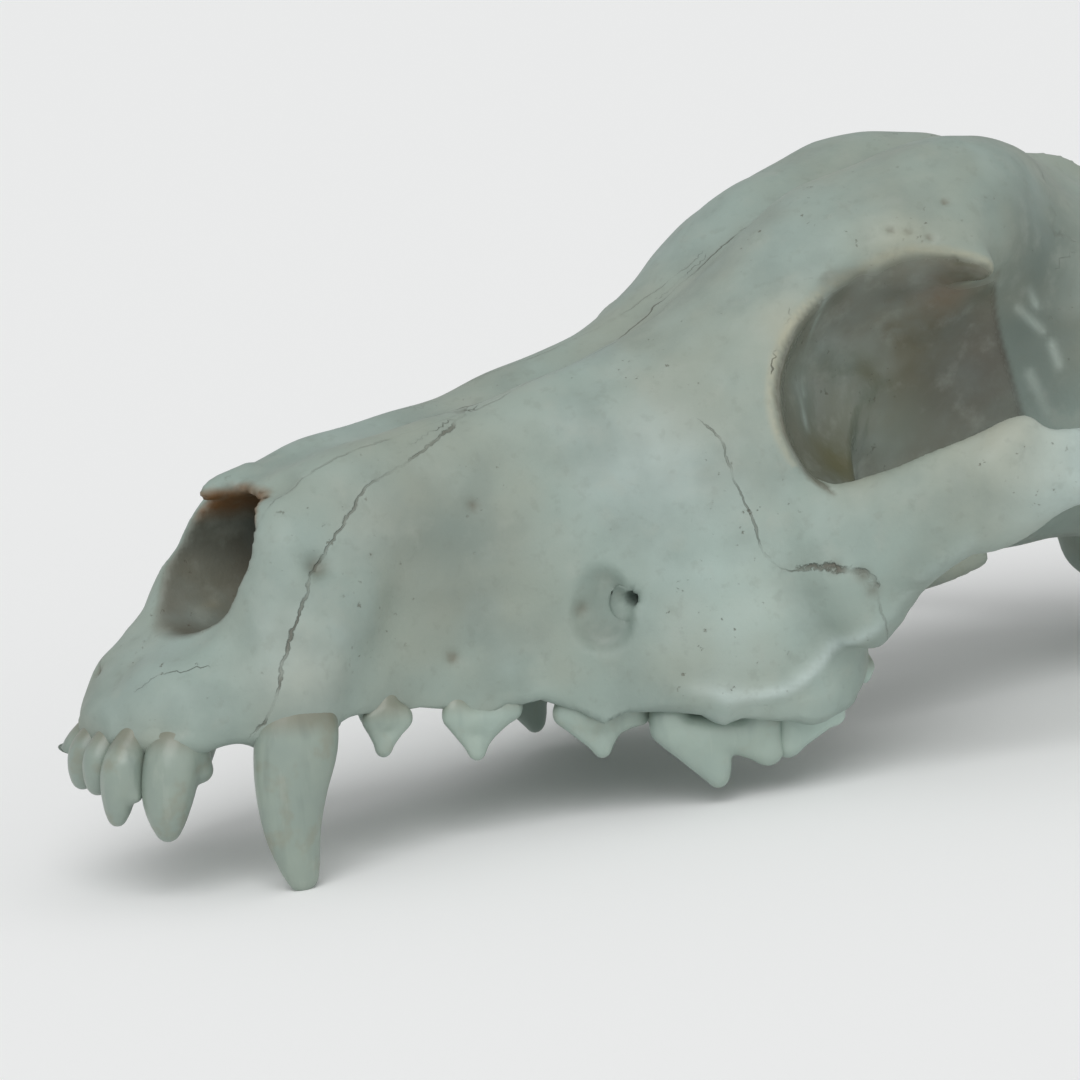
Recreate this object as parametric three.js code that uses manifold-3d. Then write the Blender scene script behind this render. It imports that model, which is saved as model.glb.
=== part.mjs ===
// A wolf's skull at life size, without the lower jaw, lying as it rests on a level surface.
// Lengths are millimetres and +Z is up. The nose points along -X and the animal's left side is -Y.
// Each form is given in the skull's own frame: x runs back from the front of the tooth row, y runs
// across from the midline and z runs up from the edge of the cheek-tooth sockets. One field of
// distances joins and cuts these forms smoothly, and is then turned into faces, parted along the
// sutures into the bones a person would name, and tipped into the pose in which it rests.

import * as THREE from 'three';
import Module from 'manifold-3d';

// Sizes of the whole
const FACE_STEP = 2.3;
const BONE_FACES = 9500;
const SUTURE_GAP = 0.3;
const WEAR = 0.55;
// Half the length, from the front of the teeth to the back of the crest
const MIDDLE = 130.09;

// Muzzle and cheeks, one row a station along the skull: x, top z, crown y and z, cheek y and z,
// lower side y and z, outer socket edge y and z, inner socket edge y and z, palate z
const FACE = [
  [3.4, 1.6, 2, 1.4, 3.6, 0.8, 4.6, -0.8, 4.6, -2.4, 3, -3.2, -2.8],
  [5.5, 4, 4, 3.8, 6.8, 2.8, 9.2, 0, 9.8, -2.5, 6, -3.7, -2.8],
  [9, 8.4, 6, 8.4, 10, 7, 13.4, 2.4, 14.8, -2.7, 9.5, -4, -2.8],
  [15.4, 12.6, 8, 12.6, 12.6, 11.4, 17, 5.6, 18.2, -2, 12.8, -3, -2.6],
  [19.9, 17, 9, 17, 13.4, 15.4, 18.4, 8.5, 19, -0.6, 13, -1.6, -2],
  [22.9, 23.5, 9.2, 23.3, 13.8, 21, 19.3, 11, 20.3, 0.2, 13.8, -0.9, -1.4],
  [26, 31, 9, 30.8, 13.8, 26, 19.9, 12.5, 21.3, 0.4, 14, -0.5, -0.8],
  [31, 36.9, 9.2, 36.4, 14.8, 29.5, 20.5, 14, 22.3, 0.5, 14, 0, 1],
  [40, 40.8, 9.5, 40, 15.2, 31.5, 19.1, 15, 20.5, 1, 14, 0.5, 3],
  [50, 43.4, 9.5, 42.6, 15, 33.5, 17.3, 18, 19, 1, 14.5, 0.5, 4],
  [62, 46.6, 9.5, 45.7, 15, 37, 18.3, 20, 21, 1, 16, 0.5, 5],
  [76, 50.6, 9.8, 49.6, 17, 41, 23.3, 22, 26.4, 1, 21, -0.6, 5.5],
  [88, 54.8, 10.3, 53.7, 20.5, 44.5, 29, 24, 32.8, 1.4, 27.5, -1.2, 5.8],
  [100, 59.8, 11.5, 58.8, 24, 49, 34.5, 27, 37.7, 2.2, 33, -2.4, 5.8],
  [108, 64.3, 11.8, 63.2, 25.2, 52.5, 37.5, 29, 39.4, 3, 35.2, -4.2, 5.6],
  [115, 70, 12.4, 69, 25.6, 59, 39.5, 31, 40, 5, 36.2, -5, 5.6],
  [121, 75, 13.2, 73.8, 25.4, 65, 40.5, 30, 39, 7.5, 35.4, -3.6, 6],
  [127, 78.8, 14.2, 77.8, 24.6, 69, 36, 28, 35, 8.5, 31, 1.6, 7],
  [132, 80, 15, 79, 23, 71, 22, 29, 23, 15, 18, 9, 9],
  [137, 80, 14, 78, 19, 72, 12, 30, 12, 20, 10.5, 12, 12],
];

// Forehead and braincase: x, top z, shoulder y and z, brow y and z, wall y and z, flank y and z,
// base y and z, underside z
const BRAIN = [
  [108, 63, 11, 61.5, 22, 53, 20, 40, 14, 28, 10, 18, 15],
  [120, 74, 13, 72.8, 23.8, 65, 20, 48, 14, 30, 11, 15, 12],
  [130, 80.4, 14.8, 79.2, 25.4, 71.2, 19.5, 52, 13, 30, 11.5, 12, 10.5],
  [140, 84.9, 17, 84.2, 29, 74, 18.8, 55, 12.2, 30, 11.3, 13, 12],
  [150, 88, 19, 86.8, 30.5, 72.5, 18, 55, 11.8, 30, 11.3, 13.5, 13],
  [157, 89.6, 20, 87.4, 28.5, 72, 18, 55, 12.5, 32, 11.5, 15.5, 15],
  [165, 89.8, 18, 87, 24.5, 75, 19.5, 55, 14, 34, 12.5, 19, 16.5],
  [174, 88, 13, 85.5, 20.5, 72, 20.5, 52, 17, 36, 14.5, 24, 17],
  [183, 84.8, 8, 82, 20, 70, 24, 50, 21, 36, 17, 25, 17],
  [195, 79.6, 12, 76.8, 24, 66, 30.5, 48, 28, 36, 22, 25, 16.5],
  [210, 77.4, 15, 74.4, 28, 64, 34, 46, 33, 35, 26, 23, 16],
  [225, 75.6, 14, 72.4, 27, 62, 33, 45, 33, 35, 27, 23, 16],
  [235, 73.8, 10, 70.6, 22.5, 60, 29, 46, 31, 35, 26, 25, 17.5],
  [242, 71.6, 8, 68, 18, 58, 24.5, 46, 26, 36, 18, 28, 24],
  [246, 71, 7, 67, 13.5, 58, 19, 47, 20, 38, 13, 32, 28],
];

// Groove along the midline of the nose and forehead: x, depth
const TROUGH = [
  [30, 0.4], [55, 1.8], [76, 2.6], [90, 3.2], [105, 2.4], [115, 3.2], [134, 4.2], [150, 4],
  [165, 2.6], [178, 0.8], [186, 0],
];

// Flat bars of bone: x, y, z, half height, half thickness, lean in degrees
const CREST = [
  [176, 0, 80, 6, 2.2, 0], [187, 0, 78.4, 7, 2.2, 0], [194, 0, 75.8, 7.2, 2, 0],
  [203, 0, 73.2, 8, 2, 0], [218, 0, 72.2, 8.8, 1.9, 0], [236, 0, 71.4, 9, 2, 0],
  [246, 0, 70, 8, 2.4, 0], [250.5, 0, 68, 6.5, 2.6, 0],
];
const NUCHAL_CREST = [
  [250, 0, 69, 6.5, 2.6, 0], [246.5, 11.5, 64.5, 5.8, 2.4, 10], [241.5, 22, 55, 5.6, 2.4, 25],
  [237, 29.5, 43, 6, 2.6, 30], [233, 33, 32, 6, 3.2, 20],
];
const CHEEK_ARCH = [
  [206, 30, 33, 4, 5, 0], [206, 42, 28, 4.5, 6, 0], [202, 55, 28.5, 6, 5, 0],
  [194, 65, 33, 6.3, 3.2, 0], [182, 69, 37.5, 5.6, 2.8, 0], [168, 67.5, 39, 5.5, 2.8, 0],
  [156, 62.5, 38.5, 5.8, 3, 0], [147, 58, 37.5, 7.2, 3.2, 0], [138, 53, 33.6, 9.2, 3.8, 0],
  [133, 50.2, 31.9, 9, 4.2, 0], [127.5, 46.3, 28, 9.8, 5, 0], [118, 40, 21.5, 14, 7, 0],
];
const INCISIVE_ARCH = [
  [6, 0, 0, 4, 3, 0], [6.8, 4.8, -0.1, 4, 3, 0], [9.2, 8.8, -0.2, 4, 3, 0],
  [13.5, 12.6, 0, 4, 3, 0],
];
const JAW_STOP = [[204, 38, 25, 4, 5, 0], [205, 46, 22, 6.5, 4, 0], [206, 54, 23, 5, 4, 0]];

// Round rods of bone: x, y, z, radius
const CANINE_ROOT = [
  [28.5, 16, 2.4, 7.8], [32, 15.6, 9, 7.6], [38, 13.8, 17, 6.4], [45, 11.2, 26, 5],
  [50, 9.5, 31, 4],
];
const BROW_HORN = [[138, 21, 70.5, 6], [146, 26, 70.8, 5.2], [150.6, 30.4, 68.4, 3.4]];
const CHEEK_HORN = [[140, 54, 38, 5.4], [142, 55.2, 41.8, 4], [143.5, 56, 44, 2.6]];
const NECK_HORN = [[235, 27, 30, 6], [238, 29, 14, 4.8], [239, 29.5, 4, 3.6], [239, 29.5, 0.5, 3]];
const THROAT_HOOK = [[145, 10.6, 12.5, 2.4], [156, 11, 14.4, 2.1], [165, 11.6, 16.6, 1.3]];

// Rounded lumps and the eye socket: centre, half lengths, turn in degrees
const EYE_SOCKET = [[138, 43, 49.5], [28.5, 26, 23.5], 12];
const EAR_BULB = [[221, 22.5, 15.5], [15.5, 10.8, 12.2], 14];
const NECK_KNUCKLE = [[241, 13, 25.5], [6.5, 8.5, 9.5], 0];

// Hollows cut along a path: x, y, z, radius
const NOSE_OPENING = [
  [2, 0, 25, 8.6], [12, 0, 24, 10.4], [20, 0, 23.8, 10.8], [34, 0, 24.6, 10.8], [50, 0, 27, 9.6],
  [64, 0, 29, 7],
];
const THROAT_OPENING = [
  [122, 0, 9.5, 3], [129, 0, 12, 6.6], [144, 0, 15, 7.8], [158, 0, 18.5, 7.8], [170, 0, 22, 5],
];
const SPINE_OPENING = [[252, 0, 35, 10.5], [232, 0, 37, 10]];
const CHEEK_CANAL = [
  [80, 31.5, 15.4, 1], [84, 28.9, 16.4, 1.5], [88, 27, 17.6, 1.9], [98, 26.5, 20, 2.6],
  [114, 27, 28, 4],
];
const PALATE_SLIT = [[13, 4, -4, 1.4], [18, 4.6, -3, 1.7], [23, 4.8, -2, 1.4]];

// The rim of the nose: how far it stands back on the left and forward on the right, how much more it
// does so low down, the piece broken off the left nose bone, and the tongue left of the right one
const RIM_LEAN = 0.9;
const RIM_DROP = 1.05;
const NOSE_BREAK = [[20, -7, 38, 6.5], [30, -7, 40, 5.5]];
const NOSE_TONGUE = [[33, 5, 37, 2.2], [27.5, 4.8, 35.2, 2], [24.8, 4.2, 33.8, 1.3]];

// Borders between the bones, seen from the side (x, z) or from above (x, y)
const NASAL_PLAN = [
  [10, -10.5], [40, -9.6], [72, -8.2], [100, -5.5], [116, -2.8], [124, 0], [116, 2.8], [100, 5.5],
  [72, 8.2], [40, 9.6], [10, 10.5],
];
const NASAL_SIDE = [
  [10, 25], [24, 30.5], [30, 33.3], [40, 36.6], [50, 39.2], [62, 42.4], [76, 46.4], [88, 50.4],
  [100, 55.2], [110, 61.5], [118, 69], [126, 76], [126, 110], [10, 110],
];
const INCISIVE_SIDE = [
  [-20, -40], [20.2, -40], [20.2, -1], [22.8, 4.5], [26.3, 13.5], [31.5, 21.2], [35, 25.5],
  [40.5, 32], [45.5, 36.5], [51, 38.8], [59.5, 43], [68, 47.6], [74, 49], [74, 80], [-20, 80],
];
const MAXILLA_SIDE = [
  [-20, -40], [136, -40], [134, 2], [131, 12], [124, 24], [116, 36], [110, 46], [107, 56],
  [104, 63], [98, 75], [-20, 80],
];
const CHEEK_SIDE = [
  [112.5, 48], [99, 43.5], [102.5, 35], [106, 27], [112, 21.3], [119, 20.8], [125.5, 17],
  [129, 12.5], [132, 4], [150, 4], [192, 28.5], [187, 35], [166, 41.5], [161, 60], [120, 60],
];
const CHEEK_PLAN = [[90, 27], [118, 33], [127, 31], [140, 38], [200, 50], [200, 100], [90, 100]];

// Teeth: place of the neck, turn of the long axis, thickness share, level below which the right one
// is broken off, and the paths that are joined, rows of along, across (towards the tongue), up, radius
const TEETH = [
  {
    name: 'canine', bone: 'maxilla', at: [28.5, 19.9, 0.5], turn: 4, thick: 0.68,
    step: 1.4, faces: 170, broken: -15.5,
    paths: [
      [[4.4, 6, 12, 2.8], [2.6, 3.6, 5.5, 4.6], [1, 0.7, 1, 6], [0.2, -0.6, -4, 6.5],
       [-0.9, -1.7, -10, 5.6], [-1.1, -2.8, -17, 4.3], [0.2, -4, -24.5, 2.6]],
    ],
  },
  {
    name: 'incisor_1', bone: 'incisive_bones', at: [2.6, 2.9, -2.5], turn: 80, thick: 1,
    step: 0.8, faces: 70, broken: -99,
    paths: [
      [[0, 5, 6, 1.3], [0, 2.4, 0.6, 1.9], [0, -0.2, -3.2, 2.3], [0, -0.7, -7.4, 1.7]],
    ],
  },
  {
    name: 'incisor_2', bone: 'incisive_bones', at: [4.2, 8.6, -2.5], turn: 62, thick: 1,
    step: 0.9, faces: 80, broken: -3.5,
    paths: [
      [[0, 5.6, 6, 1.4], [-0.1, 3, 0.8, 2.2], [-0.4, 0.2, -3.4, 2.8], [-0.6, -0.7, -7, 2.6],
       [-0.9, -1, -12, 1.4]],
      [[0.8, -0.2, -3.4, 2.2], [2.4, -0.4, -8.2, 1.1]],
    ],
  },
  {
    name: 'incisor_3', bone: 'incisive_bones', at: [10.6, 13.2, -2], turn: 38, thick: 1,
    step: 1, faces: 100, broken: -4,
    paths: [
      [[1.6, 6, 8, 1.8], [0.9, 3.4, 1.4, 3.1], [-0.2, 0.8, -3, 4.2], [-0.9, -0.6, -9, 3.7],
       [-0.8, -1.1, -14.3, 1.8]],
      [[2.4, 2.4, -2.4, 3], [3.6, 2.6, -5, 2.2]],
    ],
  },
  {
    name: 'premolar_1', bone: 'maxilla', at: [46, 18.6, 0.5], turn: 8, thick: 0.8,
    step: 0.8, faces: 60, broken: -99,
    paths: [
      [[0, 3.4, 6, 1.4], [-0.2, 0.2, 0, 2.4]],
      [[-2.9, 0, -1.4, 1.4], [-0.8, 0, -6.1, 1.1]],
      [[-0.8, 0, -6.1, 1.1], [2.4, 0, -1.6, 1.4]],
      [[-2, 0, -1, 2], [2, 0, -0.9, 2]],
    ],
  },
  {
    name: 'premolar_2', bone: 'maxilla', at: [62.4, 19.8, 0.8], turn: 10, thick: 0.72,
    step: 0.9, faces: 90, broken: -99,
    paths: [
      [[-4.2, 4, 6, 1.3], [-4.2, 0.2, -1.2, 2.3]],
      [[4.4, 4, 6, 1.4], [4.6, 0.2, -0.6, 2.2]],
      [[-4.8, 0, -2.4, 1.7], [-0.8, 0, -8.1, 1.2]],
      [[-0.8, 0, -8.1, 1.2], [1, 0, -4.4, 1.7]],
      [[1, 0, -4, 1.7], [5.2, 0, -1.7, 1.6]],
      [[-2.6, 0, -2.8, 2.2], [2, 0, -2.8, 2]],
    ],
  },
  {
    name: 'premolar_3', bone: 'maxilla', at: [81.8, 24.2, 0.8], turn: 14, thick: 0.72,
    step: 1, faces: 90, broken: -99,
    paths: [
      [[-4.8, 4, 6, 1.5], [-4.8, 0.2, -2, 2.6]],
      [[5.2, 4, 6, 1.6], [5.2, 0.2, -2.2, 2.8]],
      [[-5.8, 0, -2.8, 1.9], [0.6, 0, -8.7, 1.3]],
      [[0.6, 0, -8.7, 1.3], [3, 0, -4.4, 1.6]],
      [[3.4, 0, -4, 1.6], [7, 0, -3.6, 1.6]],
      [[-3, 0, -3.4, 2.3], [3.6, 0, -3.6, 2.2]],
    ],
  },
  {
    name: 'premolar_4', bone: 'maxilla', at: [99.2, 31, 0.6], turn: 13, thick: 0.85,
    step: 1.2, faces: 170, broken: -99,
    paths: [
      [[-7, 4, 5, 2], [-7.4, 0.4, -3.4, 3.2]],
      [[7, 4, 5, 2.4], [8, 0.4, -4.6, 3.7]],
      [[-7.5, 6.5, 4, 2], [-7.5, 6, -3, 2.5]],
      [[-8.2, 0, -5.6, 2.2], [1.1, 0, -14, 1.6]],
      [[-2.2, 0, -7.8, 3.2], [1, 0, -12.2, 2.1]],
      [[1.4, 0, -13.4, 1.5], [1.4, 0, -8.5, 2.4]],
      [[5.2, 0, -8.2, 2.2], [9.7, 0, -9.6, 2.5]],
      [[9.7, 0, -9.6, 2.5], [9.2, 0, -5.5, 2.8]],
      [[-5.5, 0, -6, 3.1], [6.5, 0, -6.8, 3.1]],
      [[-7.5, 5, -4, 2], [-7.5, 4.8, -6, 1.3]],
    ],
  },
  {
    name: 'molar_1', bone: 'maxilla', at: [116.2, 31, 0], turn: 8, thick: 1,
    step: 1.3, faces: 120, broken: -99,
    paths: [
      [[-3, -1.5, 5, 2.2], [-3.2, -3.2, -1.5, 2.8]],
      [[3.4, -1.5, 5, 2.2], [4, -3, -1, 2.8]],
      [[0, 6, 5, 2.4], [0, 6, 0.4, 3.2]],
      [[-3.2, -3.2, -3, 2.8], [-3.5, -3.1, -8.2, 2.2]],
      [[-3.5, -3.1, -8.2, 2.2], [3, -3, -4.2, 2.2]],
      [[4.2, -3, -2, 2.8], [5, -2.8, -4, 1.9]],
      [[-1.4, 3, -1.5, 3.2], [-1.4, 3, -4.8, 1.6]],
      [[1, 7, -0.6, 3.2], [1, 7, -2.6, 1.8]],
      [[0, -2.5, -2.4, 4], [0, 5, -0.6, 3.8]],
    ],
  },
  {
    name: 'molar_2', bone: 'maxilla', at: [127.6, 28.4, 3.6], turn: 10, thick: 1,
    step: 1, faces: 70, broken: -99,
    paths: [
      [[0, -1, 5, 1.8], [0, -2, -0.4, 2.5]],
      [[0, 3, 5, 2], [0, 3, 0, 2.3]],
      [[0, -2.2, -0.5, 2.8], [0, 3.8, -0.3, 2.5]],
      [[-1.3, -2.6, -1.4, 1.9], [-1.3, -2.4, -3.2, 1.2]],
      [[1.5, -2.5, -1, 1.8], [1.7, -2.3, -2.4, 1.1]],
    ],
  },
];

const BONE = new THREE.Color('#aeb3a4');

const wasm = await Module();
wasm.setup();

// Paths and stations

function smoothPath(rows, steps) {
  if (rows.length < 3) return rows;
  const last = rows.length - 1;
  const before = rows[0].map((value, k) => 2 * value - rows[1][k]);
  const after = rows[last].map((value, k) => 2 * value - rows[last - 1][k]);
  const p = [before, ...rows, after];
  const path = [];
  for (let i = 0; i < last; i += 1) {
    for (let j = 0; j < steps; j += 1) path.push(curveRow(p, i, j / steps));
  }
  path.push(rows[last]);
  return path;
}

function curveRow(p, i, t) {
  const [a, b, c, d] = [p[i], p[i + 1], p[i + 2], p[i + 3]];
  return b.map((value, k) => {
    const slope = c[k] - a[k];
    const bend = 2 * a[k] - 5 * value + 4 * c[k] - d[k];
    const twist = 3 * value - a[k] - 3 * c[k] + d[k];
    return 0.5 * (2 * value + slope * t + bend * t * t + twist * t * t * t);
  });
}

// Sizes at x, from rows that start with x, without overshoot between the rows
function stationAt(rows, x) {
  const last = rows.length - 1;
  if (x <= rows[0][0]) return rows[0].slice(1);
  if (x >= rows[last][0]) return rows[last].slice(1);
  let i = 0;
  while (rows[i + 1][0] < x) i += 1;
  const span = rows[i + 1][0] - rows[i][0];
  const t = (x - rows[i][0]) / span;
  const values = [];
  for (let k = 1; k < rows[0].length; k += 1) {
    const start = stationSlope(rows, i, k) * span;
    const end = stationSlope(rows, i + 1, k) * span;
    values.push((2 * t ** 3 - 3 * t * t + 1) * rows[i][k] + (t ** 3 - 2 * t * t + t) * start
      + (3 * t * t - 2 * t ** 3) * rows[i + 1][k] + (t ** 3 - t * t) * end);
  }
  return values;
}

function stationSlope(rows, i, k) {
  const rise = (j) => (rows[j + 1][k] - rows[j][k]) / (rows[j + 1][0] - rows[j][0]);
  if (i === 0) return rise(0);
  if (i === rows.length - 1) return rise(i - 1);
  const a = rise(i - 1);
  const b = rise(i);
  return a * b <= 0 ? 0 : (2 * a * b) / (a + b);
}

// Distances, below zero inside the bone

const FAR_AWAY = 30;

function join(a, b, blend) {
  const h = Math.min(Math.max(0.5 + (0.5 * (b - a)) / blend, 0), 1);
  return b * (1 - h) + a * h - blend * h * (1 - h);
}

function cut(a, hollow, blend) {
  return -join(-a, hollow, blend);
}

// A body given by its cross sections. The curve through a station's named points is the outline.
function sectionBody(rows) {
  const first = rows[0][0];
  const last = rows[rows.length - 1][0];
  let cachedX = NaN;
  let outline = [];
  return (x, a, z) => {
    if (x < first - 12 || x > last + 12) return FAR_AWAY;
    if (x !== cachedX) {
      outline = sectionOutline(stationAt(rows, x));
      cachedX = x;
    }
    const ends = Math.max(first - x, x - last);
    return Math.max(distanceToOutline(outline, a, z), ends);
  };
}

function sectionOutline(values) {
  const points = [[0, values[0]]];
  for (let k = 1; k < values.length - 1; k += 2) points.push([values[k], values[k + 1]]);
  points.push([0, values[values.length - 1]]);
  const n = points.length;
  const mirrorTop = [-points[1][0], points[1][1]];
  const mirrorEnd = [-points[n - 2][0], points[n - 2][1]];
  const p = [mirrorTop, ...points, mirrorEnd];
  const outline = [];
  for (let i = 0; i < n - 1; i += 1) {
    for (let j = 0; j < 5; j += 1) outline.push(curveRow(p, i, j / 5));
  }
  outline.push(points[n - 1]);
  return outline;
}

function distanceToOutline(outline, a, z) {
  let nearest = Infinity;
  let inside = false;
  for (let i = 0; i < outline.length - 1; i += 1) {
    const [y0, z0] = outline[i];
    const ey = outline[i + 1][0] - y0;
    const ez = outline[i + 1][1] - z0;
    const wy = a - y0;
    const wz = z - z0;
    const t = Math.min(Math.max((wy * ey + wz * ez) / (ey * ey + ez * ez + 1e-9), 0), 1);
    const dy = wy - ey * t;
    const dz = wz - ez * t;
    nearest = Math.min(nearest, dy * dy + dz * dz);
    if ((z0 > z) !== (z0 + ez > z) && a < y0 + ((z - z0) * ey) / ez) inside = !inside;
  }
  return (inside ? -1 : 1) * Math.sqrt(nearest);
}

function rod(rows) {
  const path = smoothPath(rows, 4);
  const [low, high] = reachAlong(path);
  return (x, y, z) => {
    if (x < low || x > high) return FAR_AWAY;
    let nearest = Infinity;
    for (let i = 0; i < path.length - 1; i += 1) {
      const a = path[i];
      const b = path[i + 1];
      const e = [b[0] - a[0], b[1] - a[1], b[2] - a[2]];
      const w = [x - a[0], y - a[1], z - a[2]];
      const length = e[0] * e[0] + e[1] * e[1] + e[2] * e[2] + 1e-9;
      const t = Math.min(Math.max((w[0] * e[0] + w[1] * e[1] + w[2] * e[2]) / length, 0), 1);
      const away = Math.hypot(w[0] - e[0] * t, w[1] - e[1] * t, w[2] - e[2] * t);
      nearest = Math.min(nearest, away - (a[3] + (b[3] - a[3]) * t));
    }
    return nearest;
  };
}

function bar(rows) {
  const path = smoothPath(rows, 4);
  const [low, high] = reachAlong(path);
  const pieces = [];
  for (let i = 0; i < path.length - 1; i += 1) pieces.push(barPiece(path[i], path[i + 1]));
  return (x, y, z) => (x < low || x > high ? FAR_AWAY : Math.min(...pieces.map((piece) => piece(x, y, z))));
}

// The stretch of x that a path with its thickness can touch
function reachAlong(path) {
  const thick = Math.max(...path.map((row) => row[3])) + 10;
  return [Math.min(...path.map((row) => row[0])) - thick, Math.max(...path.map((row) => row[0])) + thick];
}

function barPiece(a, b) {
  const start = new THREE.Vector3(a[0], a[1], a[2]);
  const edge = new THREE.Vector3(b[0], b[1], b[2]).sub(start);
  const length = Math.max(edge.lengthSq(), 1e-9);
  const along = edge.clone().normalize();
  const level = new THREE.Vector3(-along.y, along.x, 0).normalize();
  const upright = along.clone().cross(level);
  if (upright.z < 0) upright.negate();
  const lean = THREE.MathUtils.degToRad((a[5] + b[5]) / 2);
  const across = level.clone().multiplyScalar(Math.cos(lean)).addScaledVector(upright, Math.sin(lean));
  const high = upright.clone().multiplyScalar(Math.cos(lean)).addScaledVector(level, -Math.sin(lean));
  const away = new THREE.Vector3();
  return (x, y, z) => {
    away.set(x, y, z).sub(start);
    const t = Math.min(Math.max(away.dot(edge) / length, 0), 1);
    away.addScaledVector(edge, -t);
    const halfHeight = a[3] + (b[3] - a[3]) * t;
    const halfThickness = a[4] + (b[4] - a[4]) * t;
    return ellipsoidDistance(away.dot(along), away.dot(across), away.dot(high),
      halfThickness, halfThickness, halfHeight);
  };
}

function ellipsoidDistance(x, y, z, a, b, c) {
  const near = Math.hypot(x / a, y / b, z / c);
  if (near < 1e-3) return -Math.min(a, b, c);
  return (near * (near - 1)) / Math.hypot(x / (a * a), y / (b * b), z / (c * c));
}

function lump([centre, half, turn]) {
  const c = Math.cos(THREE.MathUtils.degToRad(turn));
  const s = Math.sin(THREE.MathUtils.degToRad(turn));
  return (x, y, z) => {
    const dx = x - centre[0];
    const dy = y - centre[1];
    return ellipsoidDistance(dx * c + dy * s, dy * c - dx * s, z - centre[2], half[0], half[1], half[2]);
  };
}

// The bone of the whole skull

const leftFace = sectionBody(FACE);
const rightFace = sectionBody(FACE);
const brain = sectionBody(BRAIN);
const front = [
  [bar(CREST), 4],
  [bar(INCISIVE_ARCH), 4.5],
  [rod(CANINE_ROOT), 5],
  [rod(BROW_HORN), 3],
];
const socket = lump(EYE_SOCKET);
const back = [
  [bar(CHEEK_ARCH), 4],
  [rod(CHEEK_HORN), 3],
  [bar(NUCHAL_CREST), 4],
  [lump(EAR_BULB), 2],
  [rod(NECK_HORN), 3],
  [lump(NECK_KNUCKLE), 2],
  [bar(JAW_STOP), 2.5],
  [rod(THROAT_HOOK), 2],
];
const noseBreak = rod(NOSE_BREAK);
const noseTongue = rod(NOSE_TONGUE);
const hollows = [
  [rod(NOSE_OPENING), 1.5],
  [rod(THROAT_OPENING), 1.5],
  [rod(SPINE_OPENING), 1.5],
  [rod(CHEEK_CANAL), 1],
  [rod(PALATE_SLIT), 0.8],
];

function skullDistance(x, y, z) {
  const a = Math.abs(y);
  const level = z + stationAt(TROUGH, x)[0] * Math.exp(-((y / 5) ** 2));
  let f = join(faceDistance(x, y, a, level), brain(x, a, level), 4);
  for (const [form, blend] of front) f = join(f, form(x, a, z), blend);
  f = cut(f, socket(x, a, z), 2.5);
  for (const [form, blend] of back) f = join(f, form(x, a, z), blend);
  f = cut(f, noseBreak(x, y, z), 1);
  f = join(f, noseTongue(x, y, z), 1.5);
  for (const [hollow, blend] of hollows) f = cut(f, hollow(x, a, z), blend);
  return f;
}

// The rim of the nose stands further back on the left side than on the right
function faceDistance(x, y, a, level) {
  const low = Math.min(1, Math.max(0, (x - 11) / 3)) * Math.min(1, Math.max(0, (23.5 - x) / 2.5));
  const shift = RIM_LEAN * Math.min(1, Math.max(0, (38 - x) / 12)) + RIM_DROP * low;
  if (shift === 0) return leftFace(x, a, level);
  const right = Math.min(1, Math.max(0, 0.5 + y / 18));
  return leftFace(x - shift, a, level) * (1 - right) + rightFace(x + shift, a, level) * right;
}

// Faces of a distance field, by six tetrahedra in each cell of a grid

const CELL_TETRAHEDRA = [[0, 1, 3, 7], [0, 3, 2, 7], [0, 2, 6, 7], [0, 6, 4, 7], [0, 4, 5, 7], [0, 5, 1, 7]];

function facesOf(distance, low, high, step) {
  const count = low.map((value, k) => Math.ceil((high[k] - value) / step) + 1);
  const values = new Float64Array(count[0] * count[1] * count[2]);
  const place = (i, j, k) => (i * count[1] + j) * count[2] + k;
  for (let i = 0; i < count[0]; i += 1) {
    for (let j = 0; j < count[1]; j += 1) {
      for (let k = 0; k < count[2]; k += 1) {
        const value = distance(low[0] + i * step, low[1] + j * step, low[2] + k * step);
        values[place(i, j, k)] = Math.abs(value) < 1e-5 ? 1e-5 : value;
      }
    }
  }
  const positions = [];
  const triangles = [];
  const known = new Map();
  const point = (index) => {
    const k = index % count[2];
    const j = Math.floor(index / count[2]) % count[1];
    const i = Math.floor(index / (count[1] * count[2]));
    return [low[0] + i * step, low[1] + j * step, low[2] + k * step];
  };
  const crossing = (p, q) => {
    const [a, b] = p < q ? [p, q] : [q, p];
    const key = a * values.length + b;
    if (!known.has(key)) {
      const t = Math.min(Math.max(values[a] / (values[a] - values[b]), 0.04), 0.96);
      const start = point(a);
      const end = point(b);
      known.set(key, positions.length / 3);
      positions.push(...start.map((value, k) => value + (end[k] - value) * t));
    }
    return known.get(key);
  };
  for (let i = 0; i < count[0] - 1; i += 1) {
    for (let j = 0; j < count[1] - 1; j += 1) {
      for (let k = 0; k < count[2] - 1; k += 1) {
        const corners = [];
        for (let c = 0; c < 8; c += 1) corners.push(place(i + (c >> 2), j + ((c >> 1) & 1), k + (c & 1)));
        const signs = corners.filter((index) => values[index] < 0).length;
        if (signs === 0 || signs === 8) continue;
        for (const tetrahedron of CELL_TETRAHEDRA) {
          const four = tetrahedron.map((c) => corners[c]);
          tetrahedronFaces(four, values, point, crossing, positions, triangles);
        }
      }
    }
  }
  return { positions, triangles };
}

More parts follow.
